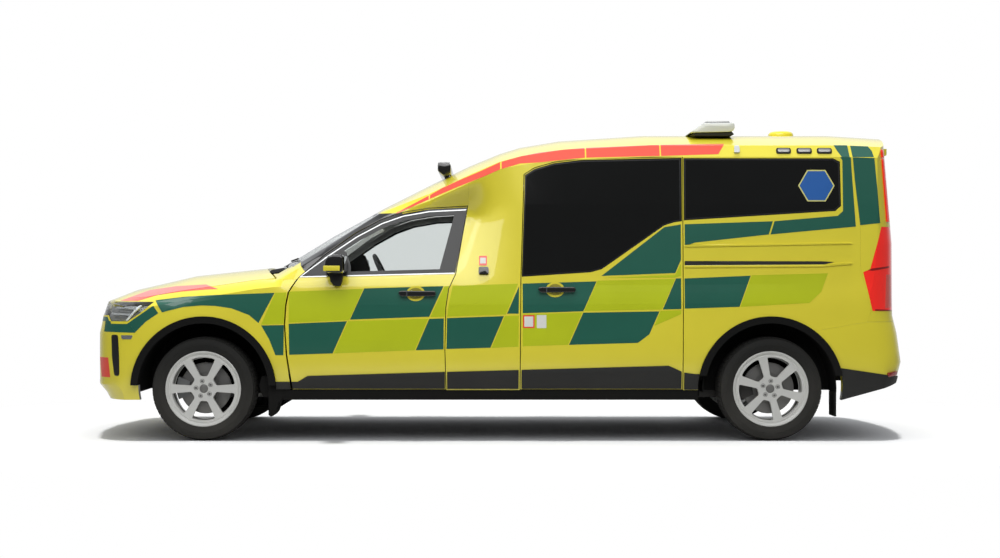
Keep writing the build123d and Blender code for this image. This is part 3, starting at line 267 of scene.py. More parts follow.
def finish(name, colour, roughness=0.4, uneven=0.05, dust=0.1, grain=300, depth=0.0, **sockets):
    """A material on the shared wear group; sockets are set on the shader itself."""
    made = bpy.data.materials.new(name)
    made.use_nodes = True
    tree = made.node_tree
    shader = tree.nodes["Principled BSDF"]
    wear = tree.nodes.new("ShaderNodeGroup")
    wear.node_tree = FINE_WEAR
    values = {
        "Colour": (*colour, 1), "Unevenness": uneven, "Dust": dust, "Roughness": roughness,
        "Grain Scale": grain, "Grain Depth": depth,
    }
    for label, value in values.items():
        wear.inputs[label].default_value = value
    for given, taken in (("Colour", "Base Color"), ("Roughness", "Roughness"), ("Normal", "Normal")):
        tree.links.new(wear.outputs[given], shader.inputs[taken])
    for label, value in sockets.items():
        shader.inputs[label.replace("_", " ")].default_value = value
    return made


def srgb(red, green, blue):
    """A colour named by its 0 to 255 values, as the linear numbers that a shader takes."""
    shares = [v / 255 for v in (red, green, blue)]
    return tuple(v / 12.92 if v <= 10 / 255 else ((v + 0.055) / 1.055) ** 2.4 for v in shares)


LACQUER = {"Coat_Weight": 1.0, "Coat_Roughness": 0.03}
yellow_lacquer = finish("yellow_lacquer", srgb(231, 217, 50), 0.34, 0.03, 0.25, 900, 0.00002, **LACQUER)
# A darker copy of the yellow lacquer: painted shade for the recesses of the door handle cups.
cup_painted_shade = finish("cup_painted_shade", srgb(150, 140, 30), 0.4, 0.03, 0.1, 900, 0.00002, **LACQUER)
black_edge = finish("black_edge", srgb(24, 24, 23), 0.5, 0.1, 0.2)


def body_of(node):
    """The name of the body that a node of the frame rides on."""
    return frame["nodes"][node]["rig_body"]


def painted_node(node, material):
    """A node of the frame that shows as it is, in one material."""
    data = frame["nodes"][node].data
    data.materials.clear()
    data.materials.append(material)


def merged_copy(node):
    """A node's mesh with its loose triangles joined, ready to be shaped further."""
    bm = bmesh.new()
    bm.from_mesh(frame["nodes"][node].data)
    bmesh.ops.remove_doubles(bm, verts=bm.verts, dist=0.00002)
    bmesh.ops.dissolve_degenerate(bm, edges=bm.edges, dist=0.00001)
    return bm


def add_piece(name, bm, body, *materials):
    """A finished mesh as an object that rides on a body."""
    mesh = bpy.data.meshes.new(name)
    bm.to_mesh(mesh)
    bm.free()
    for made in materials:
        mesh.materials.append(made)
    piece = bpy.data.objects.new(name, mesh)
    scene.collection.objects.link(piece)
    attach(piece, body)
    return piece


def smooth_by_angle(piece, angle=CREASE_ANGLE):
    """Shade smoothly, with a crease where faces meet at more than this angle."""
    piece.data.polygons.foreach_set("use_smooth", [True] * len(piece.data.polygons))
    piece.data.set_sharp_from_angle(angle=angle)


def scratch(bm, name="scratch"):
    """A mesh as an object that only helps to make another."""
    mesh = bpy.data.meshes.new(name)
    bm.to_mesh(mesh)
    bm.free()
    made = bpy.data.objects.new(name, mesh)
    scene.collection.objects.link(made)
    return made


def settled(made):
    """The mesh that an object's modifiers give, as a bmesh; the object is removed."""
    bpy.context.view_layer.update()
    graph = bpy.context.evaluated_depsgraph_get()
    mesh = bpy.data.meshes.new_from_object(made.evaluated_get(graph))
    bm = bmesh.new()
    bm.from_mesh(mesh)
    bpy.data.meshes.remove(mesh)
    bpy.data.objects.remove(made)
    return bm


def tree_round(nodes_of_frame):
    """A search tree over the faces of these nodes."""
    bm = bmesh.new()
    for node in nodes_of_frame:
        bm.from_mesh(frame["nodes"][node].data)
    tree = BVHTree.FromBMesh(bm)
    bm.free()
    return tree


PANES = [
    "windscreen", "front_door_glass_left", "front_door_glass_right", "quarter_glass",
    "sliding_door_glass", "tailgate_glass",
]
PANE_TREE = tree_round(PANES)
OUTSIDE, INSIDE, REVEAL = 0, 1, 2
REVEAL_REACH = 0.06
REVEAL_DEPTH = 0.03
FACING_PANE = 0.0005
TAIL_HINGE_X, TAIL_HINGE_Z, TAIL_HINGE_INNER, TAIL_HINGE_OUTER = -2.89, 2.092, 0.35, 0.45
CLADDING_TOP, CLADDING_REAR, CLADDING_FRONT, CLADDING_INNER = 0.46, -1.6, 1.75, 0.7
CORE_REAR, CORE_FRONT, CORE_HEIGHT = -2.2, 2.1, 1.15
cabin_trim = finish("cabin_trim", srgb(168, 168, 165), 0.7, 0.08, 0.1, 900, 0.0001)


def side_of_panel(face):
    """Whether a face of a panel shows outside, lines the inside, or frames a pane."""
    centre = face.calc_center_median()
    aside = abs(centre.y)
    if centre.x < TAIL_HINGE_X and centre.z > TAIL_HINGE_Z and TAIL_HINGE_INNER < aside < TAIL_HINGE_OUTER:
        return OUTSIDE
    core = Vector((max(CORE_REAR, min(CORE_FRONT, centre.x)), 0, CORE_HEIGHT))
    outwards = (centre - core).normalized().dot(face.normal)
    if outwards < -0.25:
        return INSIDE
    nearest, _, _, gap = PANE_TREE.find_nearest(centre, REVEAL_REACH)
    if outwards < 0.15 and gap is not None and gap > REVEAL_DEPTH:
        return INSIDE
    by_cladding = centre.z < CLADDING_TOP and CLADDING_REAR < centre.x < CLADDING_FRONT
    faces_pane = gap is not None and (nearest - centre).dot(face.normal) > FACING_PANE
    if (by_cladding and aside > CLADDING_INNER and outwards < 0.7) or (outwards < 0.45 and faces_pane):
        return REVEAL
    return OUTSIDE


def sliced(bm, place, normal, clear_outer=True, within=0.000001):
    """Cuts a mesh along a plane, and drops what lies beyond it unless told not to."""
    everything = bm.verts[:] + bm.edges[:] + bm.faces[:]
    bmesh.ops.bisect_plane(bm, geom=everything, dist=within, plane_co=place, plane_no=normal,
                           clear_outer=clear_outer)


def cut_by_grid(bm, step):
    """Cuts a mesh along evenly spaced planes square to each axis."""
    for axis in range(3):
        normal = Vector([float(k == axis) for k in range(3)])
        lowest = min(v.co[axis] for v in bm.verts)
        highest = max(v.co[axis] for v in bm.verts)
        for k in range(int(lowest // step) + 1, int(highest // step) + 1):
            sliced(bm, normal * k * step, normal, False, 0.00001)


def fade_in(value, start, end):
    """A smooth step from 0 at start to 1 at end."""
    t = max(0.0, min(1.0, (value - start) / (end - start)))
    return t * t * (3 - 2 * t)


def scoop_depth(place):
    """How far the roof's flank is drawn in above the front door, from 0 to 1."""
    if not SCOOP_REAR < place.x < SCOOP_FRONT or abs(place.y) < SCOOP_INNER:
        return 0.0
    crest = 1.97 - 0.43 * max(0.0, place.x - 0.02)
    below = fade_in(crest - place.z, 0.0, 0.055) * fade_in(place.z, 1.60, 1.66)
    return below * fade_in(place.x, 0.02, 0.22) * fade_in(crest - place.z + 0.9 * place.x, 0.0, 0.25)


def drawn_smooth(mesh):
    """Shading normals of a pressing: the faces' own, averaged over a hand's width of its form."""
    faces = [f for f in mesh.polygons if f.area > SMALL_FACE]
    near = KDTree(len(faces))
    for k, face in enumerate(faces):
        near.insert(face.center, k)
    near.balance()
    shading = [Vector(normal.vector) for normal in mesh.corner_normals]
    for face in faces:
        for corner in face.loop_indices:
            place = mesh.vertices[mesh.loops[corner].vertex_index].co
            total = Vector()
            for _, k, distance in near.find_range(place, SMOOTHING_REACH):
                other = faces[k]
                if other.normal.dot(face.normal) > SAME_FORM:
                    total += other.normal * other.area * (1 - distance / SMOOTHING_REACH)
            if total.length > 0:
                total.normalize()
                total.z -= SCOOP_TILT * scoop_depth(place)
                shading[corner] = total.normalized()
    mesh.normals_split_custom_set(shading)


def pressed_panel(node):
    """A body panel in place of its node: creased only where it is folded, and hemmed."""
    bm = merged_copy(node)
    bmesh.ops.dissolve_limit(bm, angle_limit=radians(0.2), verts=bm.verts, edges=bm.edges)
    folded = scratch(bm)
    bevel = folded.modifiers.new("hem", "BEVEL")
    bevel.width = HEM_RADIUS
    bevel.segments = 2
    bevel.limit_method = "ANGLE"
    bevel.angle_limit = radians(50)
    bm = settled(folded)
    cut_by_grid(bm, PANEL_GRID)
    bm.normal_update()
    for face in bm.faces:
        face.material_index = side_of_panel(face)
    inner = yellow_lacquer if node == "bonnet" else cabin_trim
    piece = add_piece(f"{node}_panel", bm, body_of(node), yellow_lacquer, inner, black_edge)
    smooth_by_angle(piece)
    drawn_smooth(piece.data)
    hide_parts(node)


PANELS = [
    "wing_left", "wing_right", "bonnet", "roof", "front_door_left", "front_door_right",
    "door_pillars", "rear_quarter_left", "rear_quarter_right", "sliding_door_left",
    "sliding_door_right", "rear_pillar_left", "rear_pillar_right", "tailgate",
    "front_bumper", "rear_bumper",
]
for node in PANELS:
    pressed_panel(node)

# The livery: cut foils laid on the lacquer in two staggered rows of slanted blocks, with a thin
# yellow margin at every shut line, red foil along the bonnet and roof edges, and a green flash
# over the rear wheel. Each foil follows the panel it's stuck to and moves with it.
FOIL_LIFT = 0.0009
FOIL_THICKNESS = 0.0005
green_foil = finish("green_foil", srgb(12, 92, 74), 0.3, 0.08, 0.2, 1400, 0.00001, **LACQUER)
lime_foil = finish("lime_foil", srgb(192, 204, 0), 0.3, 0.06, 0.3, 1400, 0.00001, **LACQUER)
red_foil = finish("red_foil", srgb(244, 74, 48), 0.35, 0.06, 0.1, 1400, 0.00001, **LACQUER)
SIDES = ("left", 1), ("right", -1)
TREES = {}


def tree_of(node):
    """The search tree of a node's own faces, made once."""
    if node not in TREES:
        TREES[node] = tree_round([node])
    return TREES[node]


def mirrored(bm, axis=1):
    """The same mesh for the other side of the vehicle, or for its other end."""
    twin = bm.copy()
    for v in twin.verts:
        v.co[axis] = -v.co[axis]
    bmesh.ops.reverse_faces(twin, faces=twin.faces)
    return twin


def placed_piece(name, bm, body, material, angle=CREASE_ANGLE):
    """One piece, shaded, on its body and in its material."""
    piece = add_piece(name, bm, body, material)
    smooth_by_angle(piece, angle)
    return piece


def on_both_sides(name, bm, node, material, angle=CREASE_ANGLE):
    """A left-hand piece and its twin, each riding the body of its own node or of the node they share."""
    pair = (("left", bm, node), ("right", mirrored(bm), node.replace("_left", "_right")))
    return [placed_piece(f"{name}_{side}", mesh, body_of(carrier), material, angle)
            for side, mesh, carrier in pair]


def joined(*meshes):
    """Several meshes as one."""
    whole = bmesh.new()
    for bm in meshes:
        mesh = bpy.data.meshes.new("part")
        bm.to_mesh(mesh)
        bm.free()
        whole.from_mesh(mesh)
        bpy.data.meshes.remove(mesh)
    return whole


# Columns: the two axes of an outline, the axis that it's seen along, the way out, and how far out
# from the middle a face lies at least
VIEWS = {"side": (0, 2, 1, 1, 0.3), "front": (1, 2, 0, 1, 2.0), "rear": (1, 2, 0, -1, 2.0)}
OFF_THE_FACE = 0.0005
OUTER_SHELLS = {}


def outer_shell(node, view="side"):
    """What one side shows of a panel's own outer face, as a sheet to cut things from."""
    if (node, view) not in OUTER_SHELLS:
        _, _, axis, way, least = VIEWS[view]
        way_out = Vector([way * float(k == axis) for k in range(3)])
        tree = tree_of(node)
        bm = merged_copy(node)
        bm.normal_update()
        gone = []
        for f in bm.faces:
            centre = f.calc_center_median()
            turned_away = f.normal[axis] * way < 0.02 or centre[axis] * way < least
            start = centre + (f.normal + way_out) * OFF_THE_FACE
            if turned_away or side_of_panel(f) == INSIDE or tree.ray_cast(start, way_out)[0] is not None:
                gone.append(f)
        bmesh.ops.delete(bm, geom=gone, context="FACES")
        OUTER_SHELLS[node, view] = bm
    return OUTER_SHELLS[node, view]


def corners_in_turn(outline, three):
    """Three corners of an outline, anticlockwise."""
    a, b, c = (Vector(outline[k]) for k in three)
    return (a, b, c) if (b - a).cross(c - a) > 0 else (a, c, b)


def thickened(sheet, lift, thickness):
    """A sheet as a closed slab whose outer face stands this far off."""
    sheet.normal_update()
    upper, faces = list(sheet.verts), list(sheet.faces)
    rim = [e.verts[:] for e in sheet.edges if len(e.link_faces) == 1]
    lower = {v: sheet.verts.new(v.co + v.normal * (lift - thickness)) for v in upper}
    for v in upper:
        v.co += v.normal * lift
    for face in faces:
        sheet.faces.new([lower[v] for v in reversed(face.verts)])
    for a, b in rim:
        sheet.faces.new((a, b, lower[b], lower[a]))
    bmesh.ops.recalc_face_normals(sheet, faces=sheet.faces)
    return sheet


def cut_from(node, outline, lift=FOIL_LIFT, thickness=FOIL_THICKNESS, view="side"):
    """A slab cut to an outline out of a panel's own outer face, and lifted off it."""
    first, second, *_ = VIEWS[view]
    axes = (first, second)
    low = [min(p[k] for p in outline) for k in (0, 1)]
    high = [max(p[k] for p in outline) for k in (0, 1)]
    near = outer_shell(node, view).copy()
    far_off = []
    for f in near.faces:
        for k, axis in enumerate(axes):
            across = [v.co[axis] for v in f.verts]
            if max(across) < low[k] or min(across) > high[k]:
                far_off.append(f)
                break
    bmesh.ops.delete(near, geom=far_off, context="FACES")
    parts = []
    for three in tessellate_polygon([[Vector((*p, 0)) for p in outline]]):
        corners = corners_in_turn(outline, three)
        bm = near.copy()
        for k in range(3):
            here, after = corners[k], corners[(k + 1) % 3]
            place, normal = Vector((0, 0, 0)), Vector((0, 0, 0))
            place[first], place[second] = here
            normal[first], normal[second] = after.y - here.y, here.x - after.x
            sliced(bm, place, normal)
        parts.append(bm)
    near.free()
    sheet = joined(*parts)
    bmesh.ops.remove_doubles(sheet, verts=sheet.verts, dist=0.00005)
    bmesh.ops.dissolve_limit(sheet, angle_limit=radians(0.3), verts=sheet.verts, edges=sheet.edges)
    bmesh.ops.triangulate(sheet, faces=sheet.faces)
    return thickened(sheet, lift, thickness)


def wrap_from(node, cuts, lift, thickness):
    """A slab from all of a node's outer face, both sides at once, kept inside some planes."""
    bm = merged_copy(node)
    bm.normal_update()
    gone = []
    for f in bm.faces:
        centre = f.calc_center_median()
        core = Vector((max(CORE_REAR, min(CORE_FRONT, centre.x)), 0, max(0.8, min(1.5, centre.z))))
        if (centre - core).normalized().dot(f.normal) < 0.4:
            gone.append(f)
    bmesh.ops.delete(bm, geom=gone, context="FACES")
    for place, normal in cuts:
        sliced(bm, place, normal)
    return thickened(bm, lift, thickness)


def oblong(a, b, low, high):
    """The corners of a rectangle between limits on its two axes."""
    return [(a, low), (b, low), (b, high), (a, high)]


def rounded(outline, radius, steps=3):
    """An outline with its corners rounded off."""
    made = []
    for k, corner in enumerate(outline):
        here, before, after = (Vector(outline[j % len(outline)]) for j in (k, k - 1, k + 1))
        back, on = before - here, after - here
        start = here + back.normalized() * min(radius, back.length * 0.45)
        end = here + on.normalized() * min(radius, on.length * 0.45)
        for step in range(steps + 1):
            t = step / steps
            made.append(tuple(start.lerp(here, t).lerp(here.lerp(end, t), t)))
    return made


def foil(name, node, outline, material):
    """One foil on both sides of the vehicle, shaded as the panel under it."""
    for piece in on_both_sides(name, cut_from(node, outline), node, material):
        drawn_smooth(piece.data)


BONNET_STRIPE = [
    (2.78, 1.008), (2.613, 1.086), (2.398, 1.115), (2.162, 1.128), (2.045, 1.095), (2.162, 1.089),
    (2.32, 1.076), (2.496, 1.052), (2.633, 1.008),
]
HEADLAMP_BAND = [
    (2.508, 0.975), (2.47, 0.921), (2.562, 0.858), (2.639, 0.78), (2.893, 0.785), (2.883, 0.897),
    (2.854, 0.897), (2.829, 0.843), (2.698, 0.843),
]
FOILS = {"green": green_foil, "lime": lime_foil, "red": red_foil}
# Outlines in X and Z, in metres. Columns: name, panel, colour, corners.
BLOCKS = [
    ("bonnet_stripe_wing", "wing_left", "red", BONNET_STRIPE),
    ("bonnet_stripe", "bonnet", "red", BONNET_STRIPE),
    ("roof_stripe_1", "roof", "red", [
        (0.783, 1.642), (0.535, 1.776), (0.526, 1.780), (0.526, 1.759), (0.518, 1.756), (0.78, 1.638)]),
    ("roof_stripe_2", "roof", "red", [
        (0.516, 1.785), (0.424, 1.838), (0.292, 1.897), (0.162, 1.95), (0.002, 2.021), (0.002, 1.964),
        (0.155, 1.903), (0.325, 1.838), (0.516, 1.757)]),
    ("roof_stripe_3", "roof", "red", [
        (-0.009, 2.024), (-0.144, 2.061), (-0.278, 2.09), (-0.613, 2.124), (-0.613, 2.048),
        (-0.277, 2.014), (-0.144, 2.008), (-0.009, 1.969)]),
    ("roof_stripe_4", "roof", "red", [
        (-0.623, 2.1245), (-1.155, 2.145), (-1.155, 2.06), (-0.623, 2.048)]),
    ("roof_stripe_5", "roof", "red", [(-1.165, 2.1455), (-1.634, 2.156), (-1.581, 2.074), (-1.165, 2.06)]),
    ("headlamp_band", "wing_left", "green", HEADLAMP_BAND),
    ("headlamp_band_low", "front_bumper", "green", HEADLAMP_BAND),
    ("corner_red", "front_bumper", "red", [(2.94, 0.597), (2.852, 0.597), (2.834, 0.454), (2.92, 0.454)]),
    ("wing_upper", "wing_left", "green", [
        (2.497, 1.014), (2.29, 1.039), (2.048, 1.053), (1.631, 1.068), (1.746, 0.85),
        (1.815, 0.908), (1.941, 0.956), (2.06, 0.974), (2.16, 0.977), (2.29, 0.966), (2.444, 0.927)]),
    ("wing_lime", "wing_left", "lime", [
        (1.626, 1.068), (1.545, 1.072), (1.558, 0.845), (1.727, 0.839)]),
    ("wing_lower", "wing_left", "green", [
        (1.727, 0.833), (1.562, 0.836), (1.567, 0.618), (1.625, 0.618), (1.67, 0.734)]),
    ("door_upper", "front_door_left", "green", [
        (0.984, 1.1), (0.411, 1.117), (0.515, 0.896), (1.086, 0.875)]),
    ("door_lime_front", "front_door_left", "lime", [
        (1.528, 1.077), (0.992, 1.097), (1.092, 0.872), (1.528, 0.853)]),
    ("door_lime_rear", "front_door_left", "lime", [
        (0.404, 1.115), (0.36, 1.117), (0.392, 0.96), (0.405, 0.896), (0.506, 0.894)]),
    ("door_lower", "front_door_left", "green", [
        (1.528, 0.845), (1.108, 0.863), (1.212, 0.631), (1.525, 0.621)]),
    ("door_lime_lower", "front_door_left", "lime", [
        (1.1, 0.863), (0.523, 0.881), (0.62, 0.654), (1.204, 0.631)]),
    ("door_lower_rear", "front_door_left", "green", [
        (0.515, 0.88), (0.409, 0.884), (0.411, 0.66), (0.612, 0.654)]),
    ("pillar_lower", "door_pillars", "green", [
        (0.386, 0.886), (-0.024, 0.9), (0.073, 0.672), (0.39, 0.663)]),
    ("pillar_lime", "door_pillars", "lime", [
        (0.345, 1.118), (-0.126, 1.134), (-0.038, 0.912), (0.385, 0.897), (0.373, 0.99)]),
    ("pillar_upper", "door_pillars", "green", [(-0.134, 1.115), (-0.131, 0.918), (-0.047, 0.918)]),
    ("pillar_lime_lower", "door_pillars", "lime", [
        (-0.032, 0.9), (-0.131, 0.904), (-0.131, 0.679), (0.065, 0.672)]),
    ("slide_upper", "sliding_door_left", "green", [
        (-0.16, 1.135), (-0.694, 1.151), (-0.597, 0.935), (-0.16, 0.921)]),
    ("slide_lime", "sliding_door_left", "lime", [
        (-0.701, 1.156), (-1.261, 1.169), (-1.164, 0.948), (-0.604, 0.938)]),
    ("slide_sliver", "sliding_door_left", "green", [
        (-1.267, 1.172), (-1.304, 1.173), (-1.304, 0.951), (-1.171, 0.948)]),
    ("slide_lime_lower", "sliding_door_left", "lime", [
        (-0.16, 0.912), (-0.589, 0.926), (-0.486, 0.693), (-0.16, 0.683)]),
    ("slide_lower", "sliding_door_left", "green", [
        (-0.597, 0.925), (-1.147, 0.935), (-1.074, 0.769), (-0.991, 0.707), (-0.494, 0.693)]),
    ("slide_lime_rear", "sliding_door_left", "lime", [
        (-1.155, 0.938), (-1.304, 0.942), (-1.304, 0.915), (-1.11, 0.83)]),
    ("flash", "sliding_door_left", "green", [
        (-0.729, 1.19), (-1.185, 1.543), (-1.304, 1.563), (-1.304, 1.307), (-1.262, 1.211)]),
    ("flash_lime", "sliding_door_left", "lime", [
        (-0.74, 1.176), (-1.262, 1.198), (-1.304, 1.28), (-1.304, 1.19), (-1.255, 1.178)]),
    ("quarter_green", "rear_quarter_left", "green", [
        (-1.329, 1.172), (-1.807, 1.192), (-1.724, 0.967), (-1.329, 0.954)]),
    ("quarter_lime", "rear_quarter_left", "lime", [
        (-1.815, 1.195), (-2.365, 1.209), (-2.316, 1.077), (-2.228, 0.995), (-1.73, 0.967)]),
    ("window_band_front", "rear_quarter_left", "green", [
        (-1.332, 1.564), (-1.97, 1.586), (-1.94, 1.49), (-1.406, 1.431), (-1.332, 1.405)]),
    ("window_band_rear", "rear_quarter_left", "green", [
        (-1.982, 1.586), (-2.44, 1.625), (-2.478, 1.66), (-2.478, 2.03), (-2.46, 2.055),
        (-2.54, 2.055), (-2.548, 1.9), (-2.57, 1.547), (-1.952, 1.49)]),
    ("roof_green_front", "roof", "green", [
        (-2.425, 2.142), (-2.445, 2.10), (-2.475, 2.052), (-2.532, 2.052), (-2.524, 2.142)]),
    ("roof_green_rear", "roof", "green", [
        (-2.545, 2.138), (-2.553, 2.052), (-2.71, 2.052), (-2.70, 2.10), (-2.675, 2.134)]),
    ("corner_green", "rear_pillar_left", "green", [
        (-2.555, 2.049), (-2.712, 2.049), (-2.75, 1.573), (-2.592, 1.556)]),
]
for name, node, colour, outline in BLOCKS:
    foil(name, node, outline, FOILS[colour])

# The wheels: cast six-spoke alloy rims with bare caps, five bolts and vented discs behind, and
# road tyres with ribbed sidewalls. A rim is turned, its six openings are cut, and its edges eased.
# Each wheel is made on its own axis and then put in place, turned as it stands.
SPOKE_COUNT = 6
OPENING_INNER, OPENING_OUTER, OPENING_CORNER = 0.092, 0.229, 0.012
SPOKE_HALF_INNER, SPOKE_HALF_OUTER = 0.0225, 0.0325
BOLT_COUNT, BOLT_CIRCLE = 5, 0.056
TREAD_BLOCKS, TREAD_RADIUS = 64, 0.374
DISC_RADIUS = 0.186
bright_alloy = finish("bright_alloy", srgb(214, 214, 210), 0.36, 0.05, 0.1, 700, 0.00003, Metallic=0.3)
bolt_steel = finish("bolt_steel", srgb(150, 150, 148), 0.3, 0.15, 0.3, 500, 0.00003, Metallic=0.9)
disc_iron = finish("disc_iron", srgb(140, 139, 137), 0.4, 0.25, 0.06, 220, 0.00006, Metallic=0.8)
tyre_rubber = finish("tyre_rubber", srgb(26, 26, 24), 0.75, 0.12, 0.14, 420, 0.00012,
                     Specular_IOR_Level=0.3)
cap_plastic = finish("cap_plastic", srgb(104, 104, 102), 0.3, 0.06, 0.2)

# Profiles, as radius and distance outwards from the middle of the wheel
RIM_PROFILE = [
    (0.0, 0.096), (0.030, 0.096), (0.032, 0.100), (0.078, 0.100), (0.094, 0.1005), (0.228, 0.114),
    (0.241, 0.1145), (0.2445, 0.111), (0.250, 0.111), (0.257, 0.120), (0.263, 0.1265), (0.270, 0.1275),
    (0.2735, 0.1245), (0.2735, 0.120), (0.262, 0.115), (0.2575, 0.106), (0.2535, 0.088), (0.232, 0.060),
    (0.226, 0.040), (0.228, 0.018), (0.248, -0.004), (0.2535, -0.098), (0.258, -0.116), (0.2725, -0.121),
    (0.2725, -0.127), (0.262, -0.127), (0.246, -0.108), (0.242, -0.006), (0.221, 0.016), (0.219, 0.042),
    (0.225, 0.066), (0.2385, 0.086), (0.229, 0.088), (0.100, 0.072), (0.080, 0.052), (0.0, 0.052),
]
TYRE_PROFILE = [
    (0.2565, 0.109), (0.262, 0.1165), (0.2695, 0.1195), (0.2745, 0.1265), (0.280, 0.1300),
    (0.2815, 0.1312), (0.2865, 0.1312), (0.288, 0.1330), (0.303, 0.1368), (0.316, 0.1375),
    (0.3165, 0.1384), (0.3195, 0.1384), (0.320, 0.1373), (0.334, 0.1348), (0.348, 0.1305),
    (0.3575, 0.1262), (0.3600, 0.1262), (0.3622, 0.1200), (0.3655, 0.1080), (0.3668, 0.095),
]


def lathe(profile, steps):
    """A closed profile of radius and Y turned about the Y axis."""
    bm = bmesh.new()
    points = [bm.verts.new((r, y, 0)) for r, y in profile]
    edges = [bm.edges.new(pair) for pair in zip(points, points[1:] + points[:1])]
    bmesh.ops.spin(bm, geom=points + edges, cent=(0, 0, 0), axis=(0, 1, 0), angle=2 * pi, steps=steps,
                   use_merge=True, use_duplicate=False)
    bmesh.ops.remove_doubles(bm, verts=bm.verts, dist=0.00002)
    bmesh.ops.dissolve_degenerate(bm, edges=bm.edges, dist=0.00001)
    bmesh.ops.recalc_face_normals(bm, faces=bm.faces)
    return bm


def ring_tree():
    """Repeats its geometry evenly round the Y axis."""
    tree = bpy.data.node_groups.new("ring", "GeometryNodeTree")
    tree.interface.new_socket(name="Geometry", in_out="INPUT", socket_type="NodeSocketGeometry")
    count = tree.interface.new_socket(name="Count", in_out="INPUT", socket_type="NodeSocketInt")
    start = tree.interface.new_socket(name="Start Angle", in_out="INPUT", socket_type="NodeSocketFloat")
    paint = tree.interface.new_socket(name="Material", in_out="INPUT", socket_type="NodeSocketMaterial")
    tree.interface.new_socket(name="Geometry", in_out="OUTPUT", socket_type="NodeSocketGeometry")
    given = tree.nodes.new("NodeGroupInput").outputs
    index = tree.nodes.new("GeometryNodeInputIndex").outputs[0]
    share = add_node(tree, "ShaderNodeMath", {0: index, 1: given["Count"]}, operation="DIVIDE")
    angle = add_node(tree, "ShaderNodeMath", {0: share.outputs[0], 1: 2 * pi, 2: given["Start Angle"]},
                     operation="MULTIPLY_ADD")
    turn = add_node(tree, "ShaderNodeCombineXYZ", {"Y": angle.outputs[0]})
    points = add_node(tree, "GeometryNodePoints", {"Count": given["Count"]})
    copies = add_node(tree, "GeometryNodeInstanceOnPoints", {
        "Points": points.outputs[0], "Instance": given["Geometry"], "Rotation": turn.outputs[0]})
    real = add_node(tree, "GeometryNodeRealizeInstances", {0: copies.outputs[0]})
    painted = add_node(tree, "GeometryNodeSetMaterial", {
        "Geometry": real.outputs[0], "Material": given["Material"]})
    add_node(tree, "NodeGroupOutput", {0: painted.outputs[0]})
    return tree, count.identifier, start.identifier, paint.identifier


RING, RING_COUNT, RING_START, RING_MATERIAL = ring_tree()


def ringed(bm, count, material, start=0.0):
    """A shape repeated round the Y axis, as one mesh."""
    made = scratch(bm)
    repeat = made.modifiers.new("ring", "NODES")
    repeat.node_group = RING
    repeat[RING_COUNT] = count
    repeat[RING_START] = start
    repeat[RING_MATERIAL] = material
    return settled(made)


def drawn_out(outline, low, high, axis=1):
    """A flat outline given by the two other axes, drawn out along one axis between two limits."""
    bm = bmesh.new()
    rows = []
    for level in (low, high):
        row = []
        for a, b in outline:
            place = [a, b]
            place.insert(axis, level)
            row.append(bm.verts.new(place))
        rows.append(row)
    bm.faces.new(rows[0])
    bm.faces.new(rows[1])
    for k in range(len(outline)):
        after = (k + 1) % len(outline)
        bm.faces.new((rows[0][k], rows[0][after], rows[1][after], rows[1][k]))
    bmesh.ops.recalc_face_normals(bm, faces=bm.faces)
    return bm


def beveled(bm, width, segments=2, angle=35):
    """A mesh with every edge sharper than this angle rounded off."""
    sharp = [e for e in bm.edges if len(e.link_faces) == 2 and e.calc_face_angle(0) > radians(angle)]
    bmesh.ops.bevel(bm, geom=sharp, offset=width, offset_type="OFFSET", segments=segments,
                    profile=0.5, affect="EDGES", clamp_overlap=True)
    return bm


def opening_cutter():
    """One opening between two spokes, on the +Z side, with rounded corners."""
    step = pi / SPOKE_COUNT
    outer_half = step - asin(SPOKE_HALF_OUTER / OPENING_OUTER)
    inner_half = step - asin(SPOKE_HALF_INNER / OPENING_INNER)
    arc = [outer_half * (1 - k / 5) for k in range(11)]
    outline = [(OPENING_OUTER * sin(a), OPENING_OUTER * cos(a)) for a in arc]
    outline += [(OPENING_INNER * sin(-inner_half), OPENING_INNER * cos(inner_half))]
    outline += [(OPENING_INNER * sin(inner_half), OPENING_INNER * cos(inner_half))]
    bm = drawn_out(outline, 0.03, 0.16)
    upright = [e for e in bm.edges if abs(e.verts[0].co.y - e.verts[1].co.y) > 0.1]
    corners = [e for e in upright if e.calc_face_angle(0) > radians(30)]
    bmesh.ops.bevel(bm, geom=corners, offset=OPENING_CORNER, offset_type="OFFSET", segments=5, profile=0.5,
                    affect="EDGES", clamp_overlap=True)
    return bm


def alloy_rim():
    """A whole rim: turned, cut and eased."""
    turned = scratch(lathe(RIM_PROFILE, 96))
    cutter = scratch(ringed(opening_cutter(), SPOKE_COUNT, bright_alloy), "cutter")
    cut = turned.modifiers.new("openings", "BOOLEAN")
    cut.operation = "DIFFERENCE"
    cut.solver = "EXACT"
    cut.object = cutter
    bm = settled(turned)
    bpy.data.objects.remove(cutter)
    bmesh.ops.remove_doubles(bm, verts=bm.verts, dist=0.00005)
    eased = scratch(bm)
    bevel = eased.modifiers.new("ease", "BEVEL")
    bevel.width = 0.0032
    bevel.segments = 3
    bevel.limit_method = "ANGLE"
    bevel.angle_limit = radians(40)
    return settled(eased)


def wheel_bolts():
    """Five bolts in their counterbored seats, and the bare cap."""
    head = lathe([(0.0, 0.106), (0.0085, 0.106), (0.0095, 0.105), (0.0095, 0.094), (0.0, 0.094)], 6)
    seat = lathe([(0.0165, 0.0995), (0.0165, 0.1015), (0.0155, 0.1022), (0.0135, 0.1015), (0.012, 0.0965),
                  (0.0, 0.0965), (0.0, 0.0955), (0.0155, 0.0955)], 24)
    both = joined(head, seat)
    bmesh.ops.translate(both, vec=(0, 0, BOLT_CIRCLE), verts=both.verts)
    return ringed(both, BOLT_COUNT, bolt_steel, radians(12))


